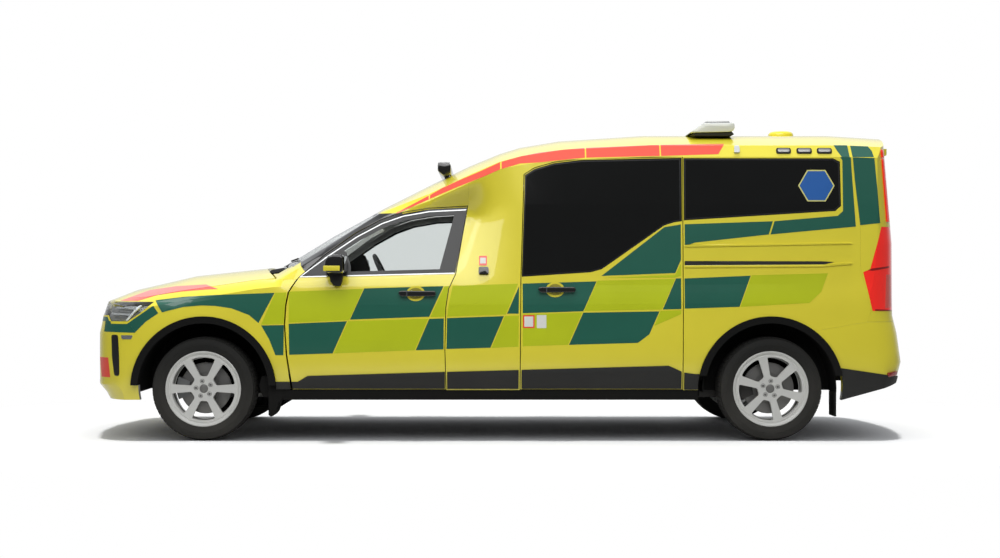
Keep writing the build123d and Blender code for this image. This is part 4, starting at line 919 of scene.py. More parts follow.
def brake_disc():
    """A vented disc with its hat, and the hub behind it."""
    profile = [
        (0.0, 0.060), (0.074, 0.060), (0.078, 0.056), (0.080, 0.016), (0.108, 0.016), (0.110, 0.0175),
        (DISC_RADIUS - 0.003, 0.0175), (DISC_RADIUS, 0.0165), (DISC_RADIUS, 0.009),
        (DISC_RADIUS - 0.02, 0.0085), (DISC_RADIUS - 0.02, -0.0005), (DISC_RADIUS, -0.001),
        (DISC_RADIUS, -0.0085), (DISC_RADIUS - 0.003, -0.0095), (0.078, -0.0095), (0.0, -0.0095),
    ]
    return lathe(profile, 72)


def tread():
    """Tread blocks round the crown between four grooves."""
    rows = []
    length = 2 * pi * TREAD_RADIUS / TREAD_BLOCKS * 0.86
    for middle, width, skew in ((0, 0.036, 0.0), (0.043, 0.034, 0.25), (-0.043, 0.034, -0.25),
                                (0.088, 0.044, 0.1), (-0.088, 0.044, -0.1)):
        low, high = middle - width / 2, middle + width / 2
        drop = [TREAD_RADIUS - max(0, abs(y) - 0.085) ** 2 * 7 for y in (low, high)]
        bm = bmesh.new()
        for base in (0.3655, None):
            for end in (-0.5, 0.5):
                for k, y in enumerate((low, high)):
                    r = base or drop[k]
                    bm.verts.new((end * length + skew * (y - middle), y, r))
        bmesh.ops.convex_hull(bm, input=bm.verts)
        rows.append(bm)
    return ringed(joined(*rows), TREAD_BLOCKS, tyre_rubber)


def tyre_shell():
    """The carcass: sidewalls with their ribs, and the base of the tread."""
    return lathe(TYRE_PROFILE + [(r, -y) for r, y in reversed(TYRE_PROFILE)], 96)


def put_wheel(bm, axle_x, side, turn):
    """A wheel's mesh moved from its own axis to its place, and mirrored for the right."""
    copy = bm.copy() if side > 0 else mirrored(bm)
    bmesh.ops.rotate(copy, cent=(0, 0, 0), matrix=Matrix.Rotation(turn, 3, "Y"), verts=copy.verts)
    bmesh.ops.translate(copy, vec=(axle_x, side * AXLE_Y, AXLE_Z), verts=copy.verts)
    return copy


WHEEL_PIECES = [
    ("rim", alloy_rim(), bright_alloy, "alloy", ("rim",)),
    ("bolts", wheel_bolts(), bolt_steel, "alloy", ()),
    ("cap", lathe([(0.0, 0.1045), (0.024, 0.1035), (0.0285, 0.1015), (0.0295, 0.098), (0.0295, 0.09),
                   (0.0, 0.09)], 40), cap_plastic, "alloy", ()),
    ("disc", brake_disc(), disc_iron, "dark_steel", ()),
    ("carcass", tyre_shell(), tyre_rubber, "tyre", ("tyre",)),
    ("tread", tread(), tyre_rubber, "tyre", ()),
]
# Columns: end of the vehicle, axle, and how far the wheel stands turned, in degrees
WHEEL_PLACES = [("front", FRONT_AXLE, 0), ("rear", REAR_AXLE, -16)]
for end, axle_x, degrees_on in WHEEL_PLACES:
    for side_name, side in SIDES:
        for label, bm, material, slot, nodes_it_replaces in WHEEL_PIECES:
            placed = put_wheel(bm, axle_x, side, radians(degrees_on))
            piece = add_piece(f"{label}_{end}_{side_name}", placed, f"wheel_{end}_{side_name}", material)
            smooth_by_angle(piece, radians(28))
            for node in nodes_it_replaces:
                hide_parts(f"{node}_{end}_{side_name}")
for _, bm, _, _, _ in WHEEL_PIECES:
    bm.free()

# The glazing: clear safety glass in the windscreen and front doors, privacy glass behind them,
# each pane bonded on a black printed border, with a chrome strip round each front door window.
CHROME_WIDTH = 0.008
clear_glass = finish("clear_glass", (0.79, 0.815, 0.81), 0.02, 0.0, 0.0, Transmission_Weight=1.0, IOR=1.05)
privacy_glass = finish("privacy_glass", srgb(9, 10, 9), 0.05, 0.2, 0.05, 20, 0.0, Specular_IOR_Level=0.3,
                       Coat_Weight=0.6)
border_black = finish("border_black", srgb(16, 16, 16), 0.28, 0.1, 0.1, 500, 0.00001)
chrome = finish("chrome", srgb(176, 178, 178), 0.16, 0.05, 0.05, Metallic=1.0)


def lets_lamps_through(glass, tint):
    """Glass whose panes pass the lamps' light on to what is behind them."""
    tree = glass.node_tree
    path = tree.nodes.new("ShaderNodeLightPath")
    through = add_node(tree, "ShaderNodeBsdfTransparent", {"Color": (*tint, 1)})
    choice = mixed(tree, path.outputs["Is Shadow Ray"], tree.nodes["Principled BSDF"], through)
    tree.links.new(choice.outputs[0], tree.nodes["Material Output"].inputs["Surface"])


lets_lamps_through(clear_glass, (0.8, 0.82, 0.81))
for node in PANES:
    clear = node == "windscreen" or node.startswith("front_door")
    painted_node(node, clear_glass if clear else privacy_glass)


def offset_inwards(outline, distance):
    """A flat outline moved in by a distance all round."""
    area = sum(a[0] * b[1] - b[0] * a[1] for a, b in zip(outline, outline[1:] + outline[:1]))
    sign = 1 if area > 0 else -1
    moved = []
    for k, here in enumerate(outline):
        before, after = outline[k - 1], outline[(k + 1) % len(outline)]
        first = Vector((here[0] - before[0], here[1] - before[1])).normalized()
        second = Vector((after[0] - here[0], after[1] - here[1])).normalized()
        normal_a = Vector((-first.y, first.x)) * sign
        normal_b = Vector((-second.y, second.x)) * sign
        bisector = (normal_a + normal_b).normalized()
        reach = distance / max(0.35, bisector.dot(normal_a))
        moved.append((here[0] + bisector.x * reach, here[1] + bisector.y * reach))
    return moved


def band(outline, width):
    """The corners of short four-sided pieces that together make a strip inside an outline."""
    inner = offset_inwards(outline, width)
    after = list(range(1, len(outline))) + [0]
    return [[outline[k], outline[n], inner[n], inner[k]] for k, n in enumerate(after)]


def border_on_side(name, node, glass, runs, lift=0.0012, thickness=0.002,
                   material=border_black, slot="black_plastic"):
    """A narrow moulding over a panel and its pane, made of short runs, on both sides."""
    bm = joined(*[cut_from(below, run, lift, thickness) for run in runs for below in (node, glass)])
    on_both_sides(name, bm, node, material)


# The outlines of the side windows, and of the black trims before and behind the front door's
DOOR_WINDOW = [
    (1.462, 1.179), (1.271, 1.326), (1.048, 1.479), (0.867, 1.577), (0.714, 1.632), (0.519, 1.666),
    (0.246, 1.679), (0.331, 1.205),
]
PILLAR_TRIM = [(0.33, 1.664), (0.243, 1.672), (0.328, 1.214), (0.447, 1.214)]
SLIDE_WINDOW = [
    (-0.154, 1.187), (-0.178, 1.920), (-0.248, 1.964), (-0.387, 2.004), (-0.582, 2.026), (-1.305, 2.041),
    (-1.305, 1.590), (-1.252, 1.580), (-1.182, 1.555), (-0.730, 1.240), (-0.649, 1.219),
]
QUARTER_WINDOW = [
    (-1.330, 2.040), (-2.408, 2.039), (-2.455, 2.015), (-2.460, 1.700), (-2.420, 1.663), (-1.330, 1.596),
]
MIRROR_SAIL = [
    (1.425, 1.198), (1.085, 1.212), (1.085, 1.262), (1.12, 1.36), (1.165, 1.388), (1.271, 1.317),
]
REAR_RUN = 6
DOOR_AND_GLASS = "front_door_left", "front_door_glass_left"
chrome_runs = band(DOOR_WINDOW, CHROME_WIDTH)
del chrome_runs[REAR_RUN]
border_on_side("window_chrome", *DOOR_AND_GLASS, chrome_runs, 0.0025, 0.004, chrome, "alloy")
border_on_side("window_border", *DOOR_AND_GLASS, band(offset_inwards(DOOR_WINDOW, CHROME_WIDTH), 0.029))
border_on_side("mirror_sail", *DOOR_AND_GLASS, [MIRROR_SAIL], 0.0020, 0.003)
border_on_side("door_pillar_trim", *DOOR_AND_GLASS, [PILLAR_TRIM], 0.0022, 0.003)
for part, width, first, last in (("front", 0.034, 0, 4), ("top", 0.014, 4, 6)):
    runs = band(offset_inwards(DOOR_WINDOW, -width), width)[first:last]
    bm = joined(*[cut_from("front_door_left", run, 0.0014, 0.001) for run in runs])
    on_both_sides(f"window_frame_{part}", bm, "front_door_left", border_black)
border_on_side("slide_seal", "sliding_door_left", "sliding_door_glass", band(SLIDE_WINDOW, 0.010))
border_on_side("quarter_seal", "rear_quarter_left", "quarter_glass", band(QUARTER_WINDOW, 0.010))

# Black mouldings: wheel arches, sills, door cladding, the lower bumpers and the windscreen pillars.
black_trim = finish("black_trim", srgb(21, 21, 20), 0.6, 0.1, 0.06, 900, 0.00006)
sill_trim = finish("sill_trim", srgb(13, 13, 12), 0.8, 0.1, 0.02, 900, 0.00006, Specular_IOR_Level=0.2)
gloss_black = finish("gloss_black", srgb(14, 14, 14), 0.12, 0.1, 0.1, 900, 0.0, **LACQUER)
CLADDING_LIFT, CLADDING_DEPTH = 0.010, 0.012
# Columns: name, panel, corners in X and Z
CLADDING = [
    ("wing_foot", "wing_left", oblong(1.72, 1.486, 0.425, 0.36)),
    ("door_cladding", "front_door_left", [
        (1.54, 0.425), (1.467, 0.425), (1.395, 0.468), (0.402, 0.497), (0.402, 0.374), (1.54, 0.374)]),
    ("pillar_cladding", "door_pillars", [
        (0.386, 0.497), (-0.131, 0.511), (-0.131, 0.374), (0.386, 0.374)]),
    ("slide_cladding", "sliding_door_left", [
        (-0.152, 0.512), (-1.215, 0.542), (-1.309, 0.50), (-1.309, 0.374), (-0.152, 0.374)]),
    ("quarter_cladding", "rear_quarter_left", [
        (-1.328, 0.492), (-1.40, 0.482), (-1.56, 0.478), (-1.56, 0.368), (-1.328, 0.368)]),
]
for name, node, outline in CLADDING:
    bm = beveled(cut_from(node, outline, CLADDING_LIFT, CLADDING_DEPTH), 0.003, 2, 60)
    on_both_sides(name, bm, node, black_trim)
PILLAR_BLACK = [
    (1.462, 1.325), (1.455, 1.272), (1.424, 1.229), (1.39, 1.208), (1.092, 1.44), (0.895, 1.55),
    (0.76, 1.62), (0.735, 1.650), (0.895, 1.648), (0.93, 1.668), (1.25, 1.54),
]
on_both_sides("screen_pillar_trim", cut_from("roof", PILLAR_BLACK, 0.0025, 0.003), "roof", gloss_black)
rear_skirt = wrap_from("rear_bumper", [
    ((-2.463, 0, 0.524), (-0.15, 0, 1)), ((0, 0, 0.655), (0, 0, 1)), ((-2.44, 0, 0.4), (1, 0, 0)),
], 0.008, 0.010)
placed_piece("rear_bumper_skirt", rear_skirt, "body", black_trim)
step_pad = add_piece("rear_step_pad", wrap_from("rear_bumper", [
    ((0, 0, 0.845), (0, 0, 1)), ((0, 0, 0.80), (0, 0, -1)), ((-2.95, 0, 0), (1, 0, 0)),
    ((0, 0.62, 0), (0, 1, 0)), ((0, -0.62, 0), (0, -1, 0)),
], 0.004, 0.006), "body", black_trim)

# Behind each front wheel hangs a curved rubber flap, below a splash guard that closes the arch.
FRONT_FLAP = [
    (1.6815, 0.40), (1.6815, 0.181), (1.652, 0.172), (1.628, 0.199), (1.61, 0.265), (1.58, 0.295),
    (1.58, 0.40),
]
on_both_sides("front_flap", beveled(drawn_out(FRONT_FLAP, 0.70, 0.925), 0.004, 2, 60), "wing_left", sill_trim)
SPLASH_GUARD = [(1.75, 0.40), (1.745, 0.36), (1.72, 0.31), (1.60, 0.31), (1.60, 0.46), (1.735, 0.46)]
INNER_GUARD = [(1.86, 0.31), (1.86, 0.43), (1.60, 0.43), (1.60, 0.31)]
guard = joined(drawn_out(SPLASH_GUARD, 0.51, 0.90), drawn_out(INNER_GUARD, 0.47, 0.50))
on_both_sides("splash_guard", guard, "wing_left", sill_trim)

UNDERTRAY = [(1.66, 0.20), (2.10, 0.20), (2.16, 0.212), (1.64, 0.212)]
placed_piece("undertray", drawn_out(UNDERTRAY, -0.42, 0.42), "body", sill_trim)

# The nose: headlamps of smoked glass over a dark housing with running lights and projectors, a
# slatted grille, corner intakes, side markers, a lower intake and a blank number plate.
smoked_glass = finish("smoked_glass", (0.70, 0.71, 0.71), 0.03, 0.0, 0.0, Transmission_Weight=1.0,
                      IOR=1.25, Coat_Weight=0.6)
lets_lamps_through(smoked_glass, (0.7, 0.71, 0.71))
lamp_housing = finish("lamp_housing", srgb(128, 130, 130), 0.3, 0.2, 0.1, 200)
running_light = finish("running_light", srgb(235, 238, 240), 0.15, 0.02, 0.0)
lamp_silver = finish("lamp_silver", srgb(205, 208, 210), 0.14, 0.1, 0.05, Metallic=0.9)
plate_white = finish("plate_white", srgb(226, 226, 220), 0.4, 0.04, 0.15)


def ball_lens(radius, depth):
    """A domed projector lens in its ring, round the Y axis, facing +Y."""
    dome = [(radius * sin(a), depth * cos(a)) for a in (0, 0.35, 0.7, 1.05, 1.35, pi / 2)]
    return lathe([*dome, (radius * 1.18, 0), (radius * 1.18, -0.02), (0, -0.02)], 28)


def facing(bm, place, direction):
    """A shape made to face +Y, turned to a direction and put in place."""
    turn = Vector((0, 1, 0)).rotation_difference(Vector(direction)).to_matrix()
    bmesh.ops.rotate(bm, cent=(0, 0, 0), matrix=turn, verts=bm.verts)
    bmesh.ops.translate(bm, vec=place, verts=bm.verts)
    return bm


lens = placed_piece("headlamp_lenses", wrap_from("headlamps", [], 0.0, 0.004), "body", smoked_glass)
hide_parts("headlamps")
placed_piece("headlamp_housings", wrap_from("headlamps", [], -0.045, 0.008), "body", lamp_housing)
HEADLAMP_PARTS = [
    ("running_bar", running_light, 0.012, [(2.612, 0.986), (2.598, 0.984), (2.703, 0.866), (2.717, 0.868)]),
    ("running_top", lamp_silver, 0.016, [(2.82, 0.957), (2.62, 0.957), (2.60, 0.982), (2.78, 0.982)]),
    ("lamp_shelf", lamp_silver, 0.020, [(2.85, 0.915), (2.68, 0.905), (2.66, 0.917), (2.85, 0.928)]),
    ("lamp_floor", lamp_housing, 0.016, [(2.84, 0.873), (2.73, 0.866), (2.72, 0.874), (2.84, 0.882)]),
]
for name, material, depth, outline in HEADLAMP_PARTS:
    on_both_sides(name, cut_from("headlamps", outline, -depth, 0.012), "headlamps", material)
for side_name, side in SIDES:
    for k, (x, y, z) in enumerate(((2.80, 0.815, 0.905), (2.725, 0.865, 0.93))):
        ball = facing(ball_lens(0.024, 0.014), (x, side * y, z), (0.7, side * 0.55, 0))
        placed_piece(f"projector_{k}_{side_name}", ball, "body", lamp_silver)

lamp_corner = [(2.96, 0.893), (2.862, 0.893), (2.835, 0.846), (2.69, 0.846), (2.69, 0.80), (2.96, 0.80)]
on_both_sides("lamp_corner", cut_from("headlamps", lamp_corner, 0.0012, 0.0022), "headlamps", green_foil)
lamp_line = [(2.96, 0.903), (2.857, 0.903), (2.828, 0.853), (2.69, 0.853), (2.69, 0.841), (2.836, 0.841),
             (2.866, 0.892), (2.96, 0.892)]
on_both_sides("lamp_line", cut_from("headlamps", lamp_line, 0.0016, 0.0026), "headlamps", yellow_lacquer)

GRILLE_HALF, GRILLE_FOOT, GRILLE_TOP, SLATS = 0.425, 0.60, 0.965, 9
painted_node("grille", gloss_black)
slat_meshes = []
for k in range(SLATS):
    z = GRILLE_FOOT + 0.012 + (GRILLE_TOP - GRILLE_FOOT - 0.02) * k / (SLATS - 1)
    half = GRILLE_HALF - 0.02
    slat = oblong(-half, half, z - 0.007, z + 0.007)
    slat_meshes.append(beveled(cut_from("grille", slat, 0.010, 0.014, "front"), 0.002, 1, 60))
placed_piece("grille_slats", joined(*slat_meshes), "body", lamp_silver)
grille_line = rounded([(-GRILLE_HALF, GRILLE_FOOT), (GRILLE_HALF, GRILLE_FOOT),
                       (GRILLE_HALF + 0.008, GRILLE_TOP), (-GRILLE_HALF - 0.008, GRILLE_TOP)], 0.05)
surround = joined(*[cut_from("grille", run, 0.014, 0.018, "front") for run in band(grille_line, 0.016)])
placed_piece("grille_surround", surround, "body", chrome)

# Columns: name, panel, seen from, lift, thickness, material, slot, corner radius, corners
FRONT_FITTINGS = [
    ("corner_intake", "front_bumper", "side", 0.003, 0.005, gloss_black, "black_plastic", 0.016,
     [(2.822, 0.764), (2.768, 0.764), (2.758, 0.60), (2.757, 0.467), (2.797, 0.467), (2.816, 0.60)]),
    ("side_marker", "front_bumper", "side", 0.003, 0.005, lamp_silver, "lamp_glass", 0.010,
     [(2.744, 0.762), (2.652, 0.762), (2.664, 0.733), (2.736, 0.733)]),
]
for name, node, view, lift, thickness, material, slot, radius, outline in FRONT_FITTINGS:
    bm = cut_from(node, rounded(outline, radius), lift, thickness, view)
    on_both_sides(name, bm, node, material)
lower_intake = rounded([(-0.60, 0.335), (0.60, 0.335), (0.68, 0.425), (-0.68, 0.425)], 0.03)
placed_piece("lower_intake", cut_from("front_bumper", lower_intake, 0.003, 0.005, "front"), "body",
             sill_trim)
intake_bars = [cut_from("front_bumper", oblong(-0.6, 0.6, z, z + 0.012), 0.009, 0.010, "front")
               for z in (0.355, 0.385)]
placed_piece("lower_intake_bars", joined(*intake_bars), "body", black_trim)
PLATE_HALF, PLATE_HEIGHT = 0.26, 0.11


def number_plate(name, body, end_x, way, z):
    """A blank plate in its carrier, a little off what it's fixed to."""
    carrier = drawn_out(rounded(oblong(-0.27, 0.27, -0.062, 0.062), 0.01), -0.012, 0.004, 0)
    edge = rounded(oblong(-PLATE_HALF, PLATE_HALF, -PLATE_HEIGHT / 2, PLATE_HEIGHT / 2), 0.008)
    board = drawn_out(edge, 0.003, 0.007, 0)
    for label, bm, material, slot in (("carrier", carrier, black_trim, "black_plastic"),
                                      ("board", board, plate_white, None)):
        if way < 0:
            bm = mirrored(bm, 0)
        bmesh.ops.translate(bm, vec=(end_x, 0, z), verts=bm.verts)
        placed_piece(f"{name}_{label}", beveled(bm, 0.0015, 1, 60), body, material)


def surface_x(node, y, z, way):
    """How far forward or back the surface of a node lies at a height."""
    return tree_of(node).ray_cast(Vector((4 * way, y, z)), Vector((-way, 0, 0)))[0].x


front_plate_z = 0.50
front_plate_x = surface_x("front_bumper", 0.2, front_plate_z, 1) + 0.012
number_plate("front_plate", "body", front_plate_x, 1, front_plate_z)

# The doors' fittings: mirrors in black shells with a yellow stripe, and pull handles over cups, each cup with
# a darker oval of painted shade in its recess.
mirror_glass = finish("mirror_glass", srgb(88, 91, 94), 0.02, 0.0, 0.0, Metallic=1.0)
mirror_low, mirror_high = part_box("door_mirror_left")
MIRROR_SHAPE = [
    (1.264, 1.228), (1.258, 1.300), (1.236, 1.338), (1.200, 1.350), (1.135, 1.348), (1.113, 1.330),
    (1.112, 1.228), (1.124, 1.206), (1.150, 1.202), (1.240, 1.206),
]


def mirror_shell(outline, low, high, shrink, ease=0.012):
    """A housing drawn out sideways whose far end is smaller."""
    bm = drawn_out(outline, low, high)
    middle = Vector((1.165, 0, 1.275))
    for v in bm.verts:
        if v.co.y > (low + high) / 2:
            v.co.x = middle.x + (v.co.x - middle.x) * shrink
            v.co.z = middle.z + (v.co.z - middle.z) * shrink
    return beveled(bm, ease, 3, 50)


shell = mirror_shell(MIRROR_SHAPE, mirror_low.y + 0.02, mirror_high.y, 0.88)
mirrors = on_both_sides("mirror_shell", shell, "front_door_left", gloss_black, radians(40))
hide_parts("door_mirror_left")
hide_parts("door_mirror_right")
stripe_line = [(1.2675, 1.222), (1.2665, 1.262), (1.14, 1.262), (1.14, 1.222)]
stripe = mirror_shell(stripe_line, mirror_low.y + 0.03, mirror_high.y + 0.002, 0.93, 0.004)
on_both_sides("mirror_stripe", stripe, "front_door_left", yellow_lacquer)
glass_line = rounded([(mirror_low.y + 0.034, 1.222), (mirror_high.y - 0.022, 1.226),
                      (mirror_high.y - 0.022, 1.330), (mirror_low.y + 0.034, 1.334)], 0.02)
glass = drawn_out(glass_line, 1.1112, 1.1135, 0)
on_both_sides("mirror_glass", glass, "front_door_left", mirror_glass)
stem_outline = [
    (1.234, 1.210), (1.226, 1.150), (1.200, 1.118), (1.155, 1.115), (1.142, 1.150), (1.136, 1.210),
]
stem = beveled(drawn_out(stem_outline, mirror_low.y - 0.04, mirror_low.y + 0.075), 0.008, 2, 50)
on_both_sides("mirror_stem", stem, "front_door_left", black_trim)


def skin_y(x, z, node):
    """How far out the left side of a node lies at a place."""
    return tree_of(node).ray_cast(Vector((x, 2, z)), Vector((0, -1, 0)))[0].y


# Columns: name, door, back end, front end, middle height, cup back, cup front
HANDLES = [
    ("front_handle", "front_door_left", 0.466, 0.735, 1.063, 0.556, 0.668),
    ("slide_handle", "sliding_door_left", -0.541, -0.272, 1.091, -0.45, -0.34),
]
for name, door, back, front, z, cup_back, cup_front in HANDLES:
    y = skin_y((back + front) / 2, z, door)
    middle = (cup_back + cup_front) / 2
    oval = [(middle + 0.068 * cos(a), z + 0.055 * sin(a)) for a in (k * pi / 12 for k in range(24))]
    on_both_sides(name + "_cup", cut_from(door, oval, 0.0016, 0.0008), door, yellow_lacquer)
    # A smaller oval of the darker lacquer inside each cup: painted shade where the recess lies in shadow.
    painted_shade_oval = [(middle + 0.052 * cos(a), z + 0.041 * sin(a)) for a in (k * pi / 12 for k in range(24))]
    on_both_sides(name + "_hollow", cut_from(door, painted_shade_oval, 0.0024, 0.0008), door, cup_painted_shade)
    bar = rounded([(back, z - 0.019), (front - 0.02, z - 0.021), (front, z - 0.008), (front, z + 0.015),
                   (front - 0.02, z + 0.021), (back, z + 0.019)], 0.018)
    grip = beveled(drawn_out(bar, y + 0.016, y + 0.034), 0.006, 3, 50)
    feet = [drawn_out(oblong(a, b, z - 0.016, z + 0.016), y - 0.004, y + 0.02)
            for a, b in ((back + 0.008, back + 0.045), (front - 0.06, front - 0.012))]
    on_both_sides(name, joined(grip, *feet), door, gloss_black, radians(40))
    slit = oblong(front - 0.062, front - 0.059, z - 0.02, z + 0.02)
    on_both_sides(name + "_lock", drawn_out(slit, y + 0.0335, y + 0.0347), door, lamp_silver)

# The rear: tall red lamps with their upper strips, a sliding door track, rear window fittings,
# a pull handle, a blank plate, reflectors, and a blue hexagon on each rear window.
lamp_red = finish("lamp_red", srgb(240, 32, 22), 0.14, 0.06, 0.05, 60, 0.0, Emission_Strength=0.3,
                  Emission_Color=(0.8, 0.02, 0.01, 1), **LACQUER)
lamp_red_pale = finish("lamp_red_pale", srgb(240, 96, 84), 0.2, 0.1, 0.05, 60, 0.0, **LACQUER)
lamp_red_deep = finish("lamp_red_deep", srgb(150, 10, 8), 0.2, 0.1, 0.05, 60, 0.0, **LACQUER)
blue_foil = finish("blue_foil", srgb(8, 92, 172), 0.35, 0.05, 0.1, 1400, 0.00001, **LACQUER)
pale_foil = finish("pale_foil", srgb(224, 220, 130), 0.35, 0.05, 0.1, 1400, 0.00001, **LACQUER)
painted_node("tail_lamps", lamp_red)
TAIL_LAMP_PARTS = [
    ("tail_lamp_light", lamp_red_pale, [(-2.80, 1.20), (-2.846, 1.20), (-2.857, 0.965), (-2.79, 0.955)]),
    ("tail_lamp_rib", lamp_red_deep, [
        (-2.645, 1.232), (-2.69, 1.245), (-2.83, 1.262), (-2.83, 1.250), (-2.69, 1.228)]),
    ("tail_lamp_edge", lamp_red_deep, [(-2.706, 0.937), (-2.86, 0.93), (-2.861, 0.942), (-2.708, 0.95)]),
]
for name, material, outline in TAIL_LAMP_PARTS:
    on_both_sides(name, cut_from("tail_lamps", outline, 0.002, 0.003), "tail_lamps", material)
strip_lamp = [(-2.773, 2.048), (-2.792, 2.048), (-2.835, 1.584), (-2.807, 1.584)]
strip_body = beveled(cut_from("rear_pillar_left", strip_lamp, 0.009, 0.012), 0.003, 2, 60)
on_both_sides("upper_strip_lamp", strip_body, "rear_pillar_left", lamp_red)
strip_top = [(-2.770, 2.110), (-2.792, 2.106), (-2.795, 2.052), (-2.773, 2.052)]
on_both_sides("upper_strip_lamp_top", beveled(cut_from("roof", strip_top, 0.009, 0.012), 0.003, 2, 60),
              "roof", lamp_red)

# Columns: name, panel, lift, thickness, material, corner radius, corners in X and Z
SIDE_FITTINGS = [
    ("track_slot", "rear_quarter_left", 0.0022, 0.003, black_edge, 0.006, [
        (-1.330, 1.298), (-2.333, 1.296), (-2.41, 1.290), (-2.333, 1.272), (-1.330, 1.266)]),
    ("track_lip", "rear_quarter_left", 0.009, 0.011, yellow_lacquer, 0.004, [
        (-1.330, 1.266), (-2.333, 1.272), (-2.54, 1.288), (-2.54, 1.275), (-2.333, 1.257), (-1.330, 1.250)]),
    ("track_rail", "rear_quarter_left", 0.008, 0.010, yellow_lacquer, 0.004, [
        (-1.330, 1.412), (-2.54, 1.432), (-2.54, 1.420), (-1.330, 1.399)]),
    ("upper_sticker", "sliding_door_left", 0.0012, 0.0006, red_foil, 0.004,
     oblong(-0.162, -0.246, 0.908, 0.814)),
    ("upper_sticker_field", "sliding_door_left", 0.0018, 0.0006, plate_white, 0.003,
     oblong(-0.172, -0.236, 0.898, 0.824)),
    ("second_sticker", "sliding_door_left", 0.0012, 0.0006, plate_white, 0.004,
     oblong(-0.262, -0.331, 0.908, 0.814)),
    ("socket_label", "door_pillars", 0.0012, 0.0006, red_foil, 0.003,
     oblong(0.155, 0.098, 1.336, 1.266)),
    ("socket_label_field", "door_pillars", 0.0018, 0.0006, plate_white, 0.003,
     oblong(0.147, 0.106, 1.322, 1.280)),
    ("power_socket", "door_pillars", 0.014, 0.016, gloss_black, 0.012,
     oblong(0.157, 0.085, 1.254, 1.198)),
    ("rear_reflector", "rear_bumper", 0.011, 0.012, lamp_red_deep, 0.006, [
        (-2.80, 0.49), (-2.885, 0.50), (-2.885, 0.47), (-2.80, 0.46)]),
]
RAISED = 0.005
for name, node, lift, thickness, material, radius, outline in SIDE_FITTINGS:
    slab = cut_from(node, rounded(outline, radius), lift, thickness)
    if lift > RAISED:
        slab = beveled(slab, 0.0025, 2, 60)
    on_both_sides(name, slab, node, material)


def hexagon(radius, centre=(-2.288, 1.844)):
    """Six corners round a centre."""
    return [(centre[0] + radius * cos(k * pi / 3), centre[1] + radius * sin(k * pi / 3)) for k in range(6)]


BADGE = [("blue_badge_edge", 0.132, 0.0010, pale_foil), ("blue_badge", 0.122, 0.0018, blue_foil)]
for name, radius, lift, material in BADGE:
    badge = cut_from("quarter_glass", hexagon(radius), lift, 0.0006)
    on_both_sides(name, badge, "quarter_glass", material)

tail_x = surface_x("tailgate", 0.0, 1.12, -1)
tail_line = rounded([(-0.60, 1.335), (0.60, 1.335), (0.58, 1.925), (-0.58, 1.925)], 0.05)
tail_runs = band(tail_line, 0.028)
tail_border = joined(*[cut_from("tailgate_glass", run, 0.0012, 0.001, "rear") for run in tail_runs])
placed_piece("tailgate_glass_border", tail_border, "tailgate", border_black)
handle_line = rounded(oblong(-0.30, 0.30, -0.022, 0.022), 0.02)
handle_bar = beveled(drawn_out(handle_line, -0.022, 0.02, 0), 0.005, 2, 50)
bmesh.ops.translate(handle_bar, vec=(tail_x, 0, 1.20), verts=handle_bar.verts)
placed_piece("tailgate_handle", handle_bar, "tailgate", gloss_black)
plate_x = surface_x("tailgate", 0.2, 1.05, -1)
number_plate("rear_plate", "tailgate", plate_x - 0.010, -1, 1.05)
brake_line = rounded(oblong(-0.22, 0.22, 2.035, 2.065), 0.01)
brake_lamp = cut_from("tailgate", brake_line, 0.008, 0.01, "rear")
placed_piece("high_brake_lamp", beveled(brake_lamp, 0.002, 2, 60), "tailgate", lamp_red)

# On the roof: a blue-and-clear light bar with eight modules a side over a dark base, a yellow dome,
# slim side lamps, a white scene lamp at each side, and a work lamp bar over the windscreen.
bar_low, bar_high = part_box("light_bar")
lens_pale = finish("lens_pale", srgb(206, 210, 210), 0.12, 0.06, 0.05, 40, 0.0, Coat_Weight=1.0)
lens_blue = finish("lens_blue", srgb(90, 120, 170), 0.12, 0.06, 0.05, 40, 0.0, Coat_Weight=1.0)
aluminium = finish("aluminium", srgb(168, 168, 166), 0.35, 0.06, 0.1, 500, 0.00002, Metallic=0.8)
BAR_BASE = [
    (-1.430, 2.243), (-1.452, 2.262), (-1.722, 2.268), (-1.742, 2.244), (-1.700, 2.232), (-1.450, 2.232),
]
BAR_LENS = [
    (-1.411, 2.256), (-1.432, 2.274), (-1.504, 2.322), (-1.520, 2.328), (-1.728, 2.330), (-1.741, 2.322),
    (-1.743, 2.292), (-1.735, 2.272), (-1.700, 2.262),
]
BAR_RIDGE = [(-1.53, 2.326), (-1.535, 2.344), (-1.705, 2.344), (-1.712, 2.328)]
bar_base = beveled(drawn_out(BAR_BASE, bar_low.y + 0.02, bar_high.y - 0.02), 0.004, 2, 40)
base_piece = placed_piece("light_bar_base", bar_base, "body", black_trim)
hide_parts("light_bar")
MODULES = 8
modules_blue, modules_pale, ribs = [], [], []
reach = (bar_high.y - bar_low.y) / MODULES
for k in range(MODULES):
    low, high = bar_low.y + k * reach + 0.003, bar_low.y + (k + 1) * reach - 0.003
    module = beveled(drawn_out(BAR_LENS, low, high), 0.006, 3, 30)
    (modules_blue if k in (1, 2, 5, 6) else modules_pale).append(module)
    ribs.append(drawn_out([(x * 0.995 - 0.008, z - 0.003) for x, z in BAR_LENS], high - 0.002, high + 0.008))
placed_piece("light_bar_blue", joined(*modules_blue), "body", lens_blue)
placed_piece("light_bar_clear", joined(*modules_pale), "body", lens_pale)
placed_piece("light_bar_ribs", joined(*ribs[:-1]), "body", black_trim)
ridge = beveled(drawn_out(BAR_RIDGE, bar_low.y + 0.03, bar_high.y - 0.03), 0.004, 2, 40)
placed_piece("light_bar_cover", ridge, "body", aluminium)
bar_feet = [drawn_out([(-1.50, 2.19), (-1.64, 2.19), (-1.63, 2.24), (-1.51, 2.24)], y - 0.03, y + 0.03)
            for y in (-0.45, 0.45)]
placed_piece("light_bar_feet", joined(*bar_feet), "body", black_trim)

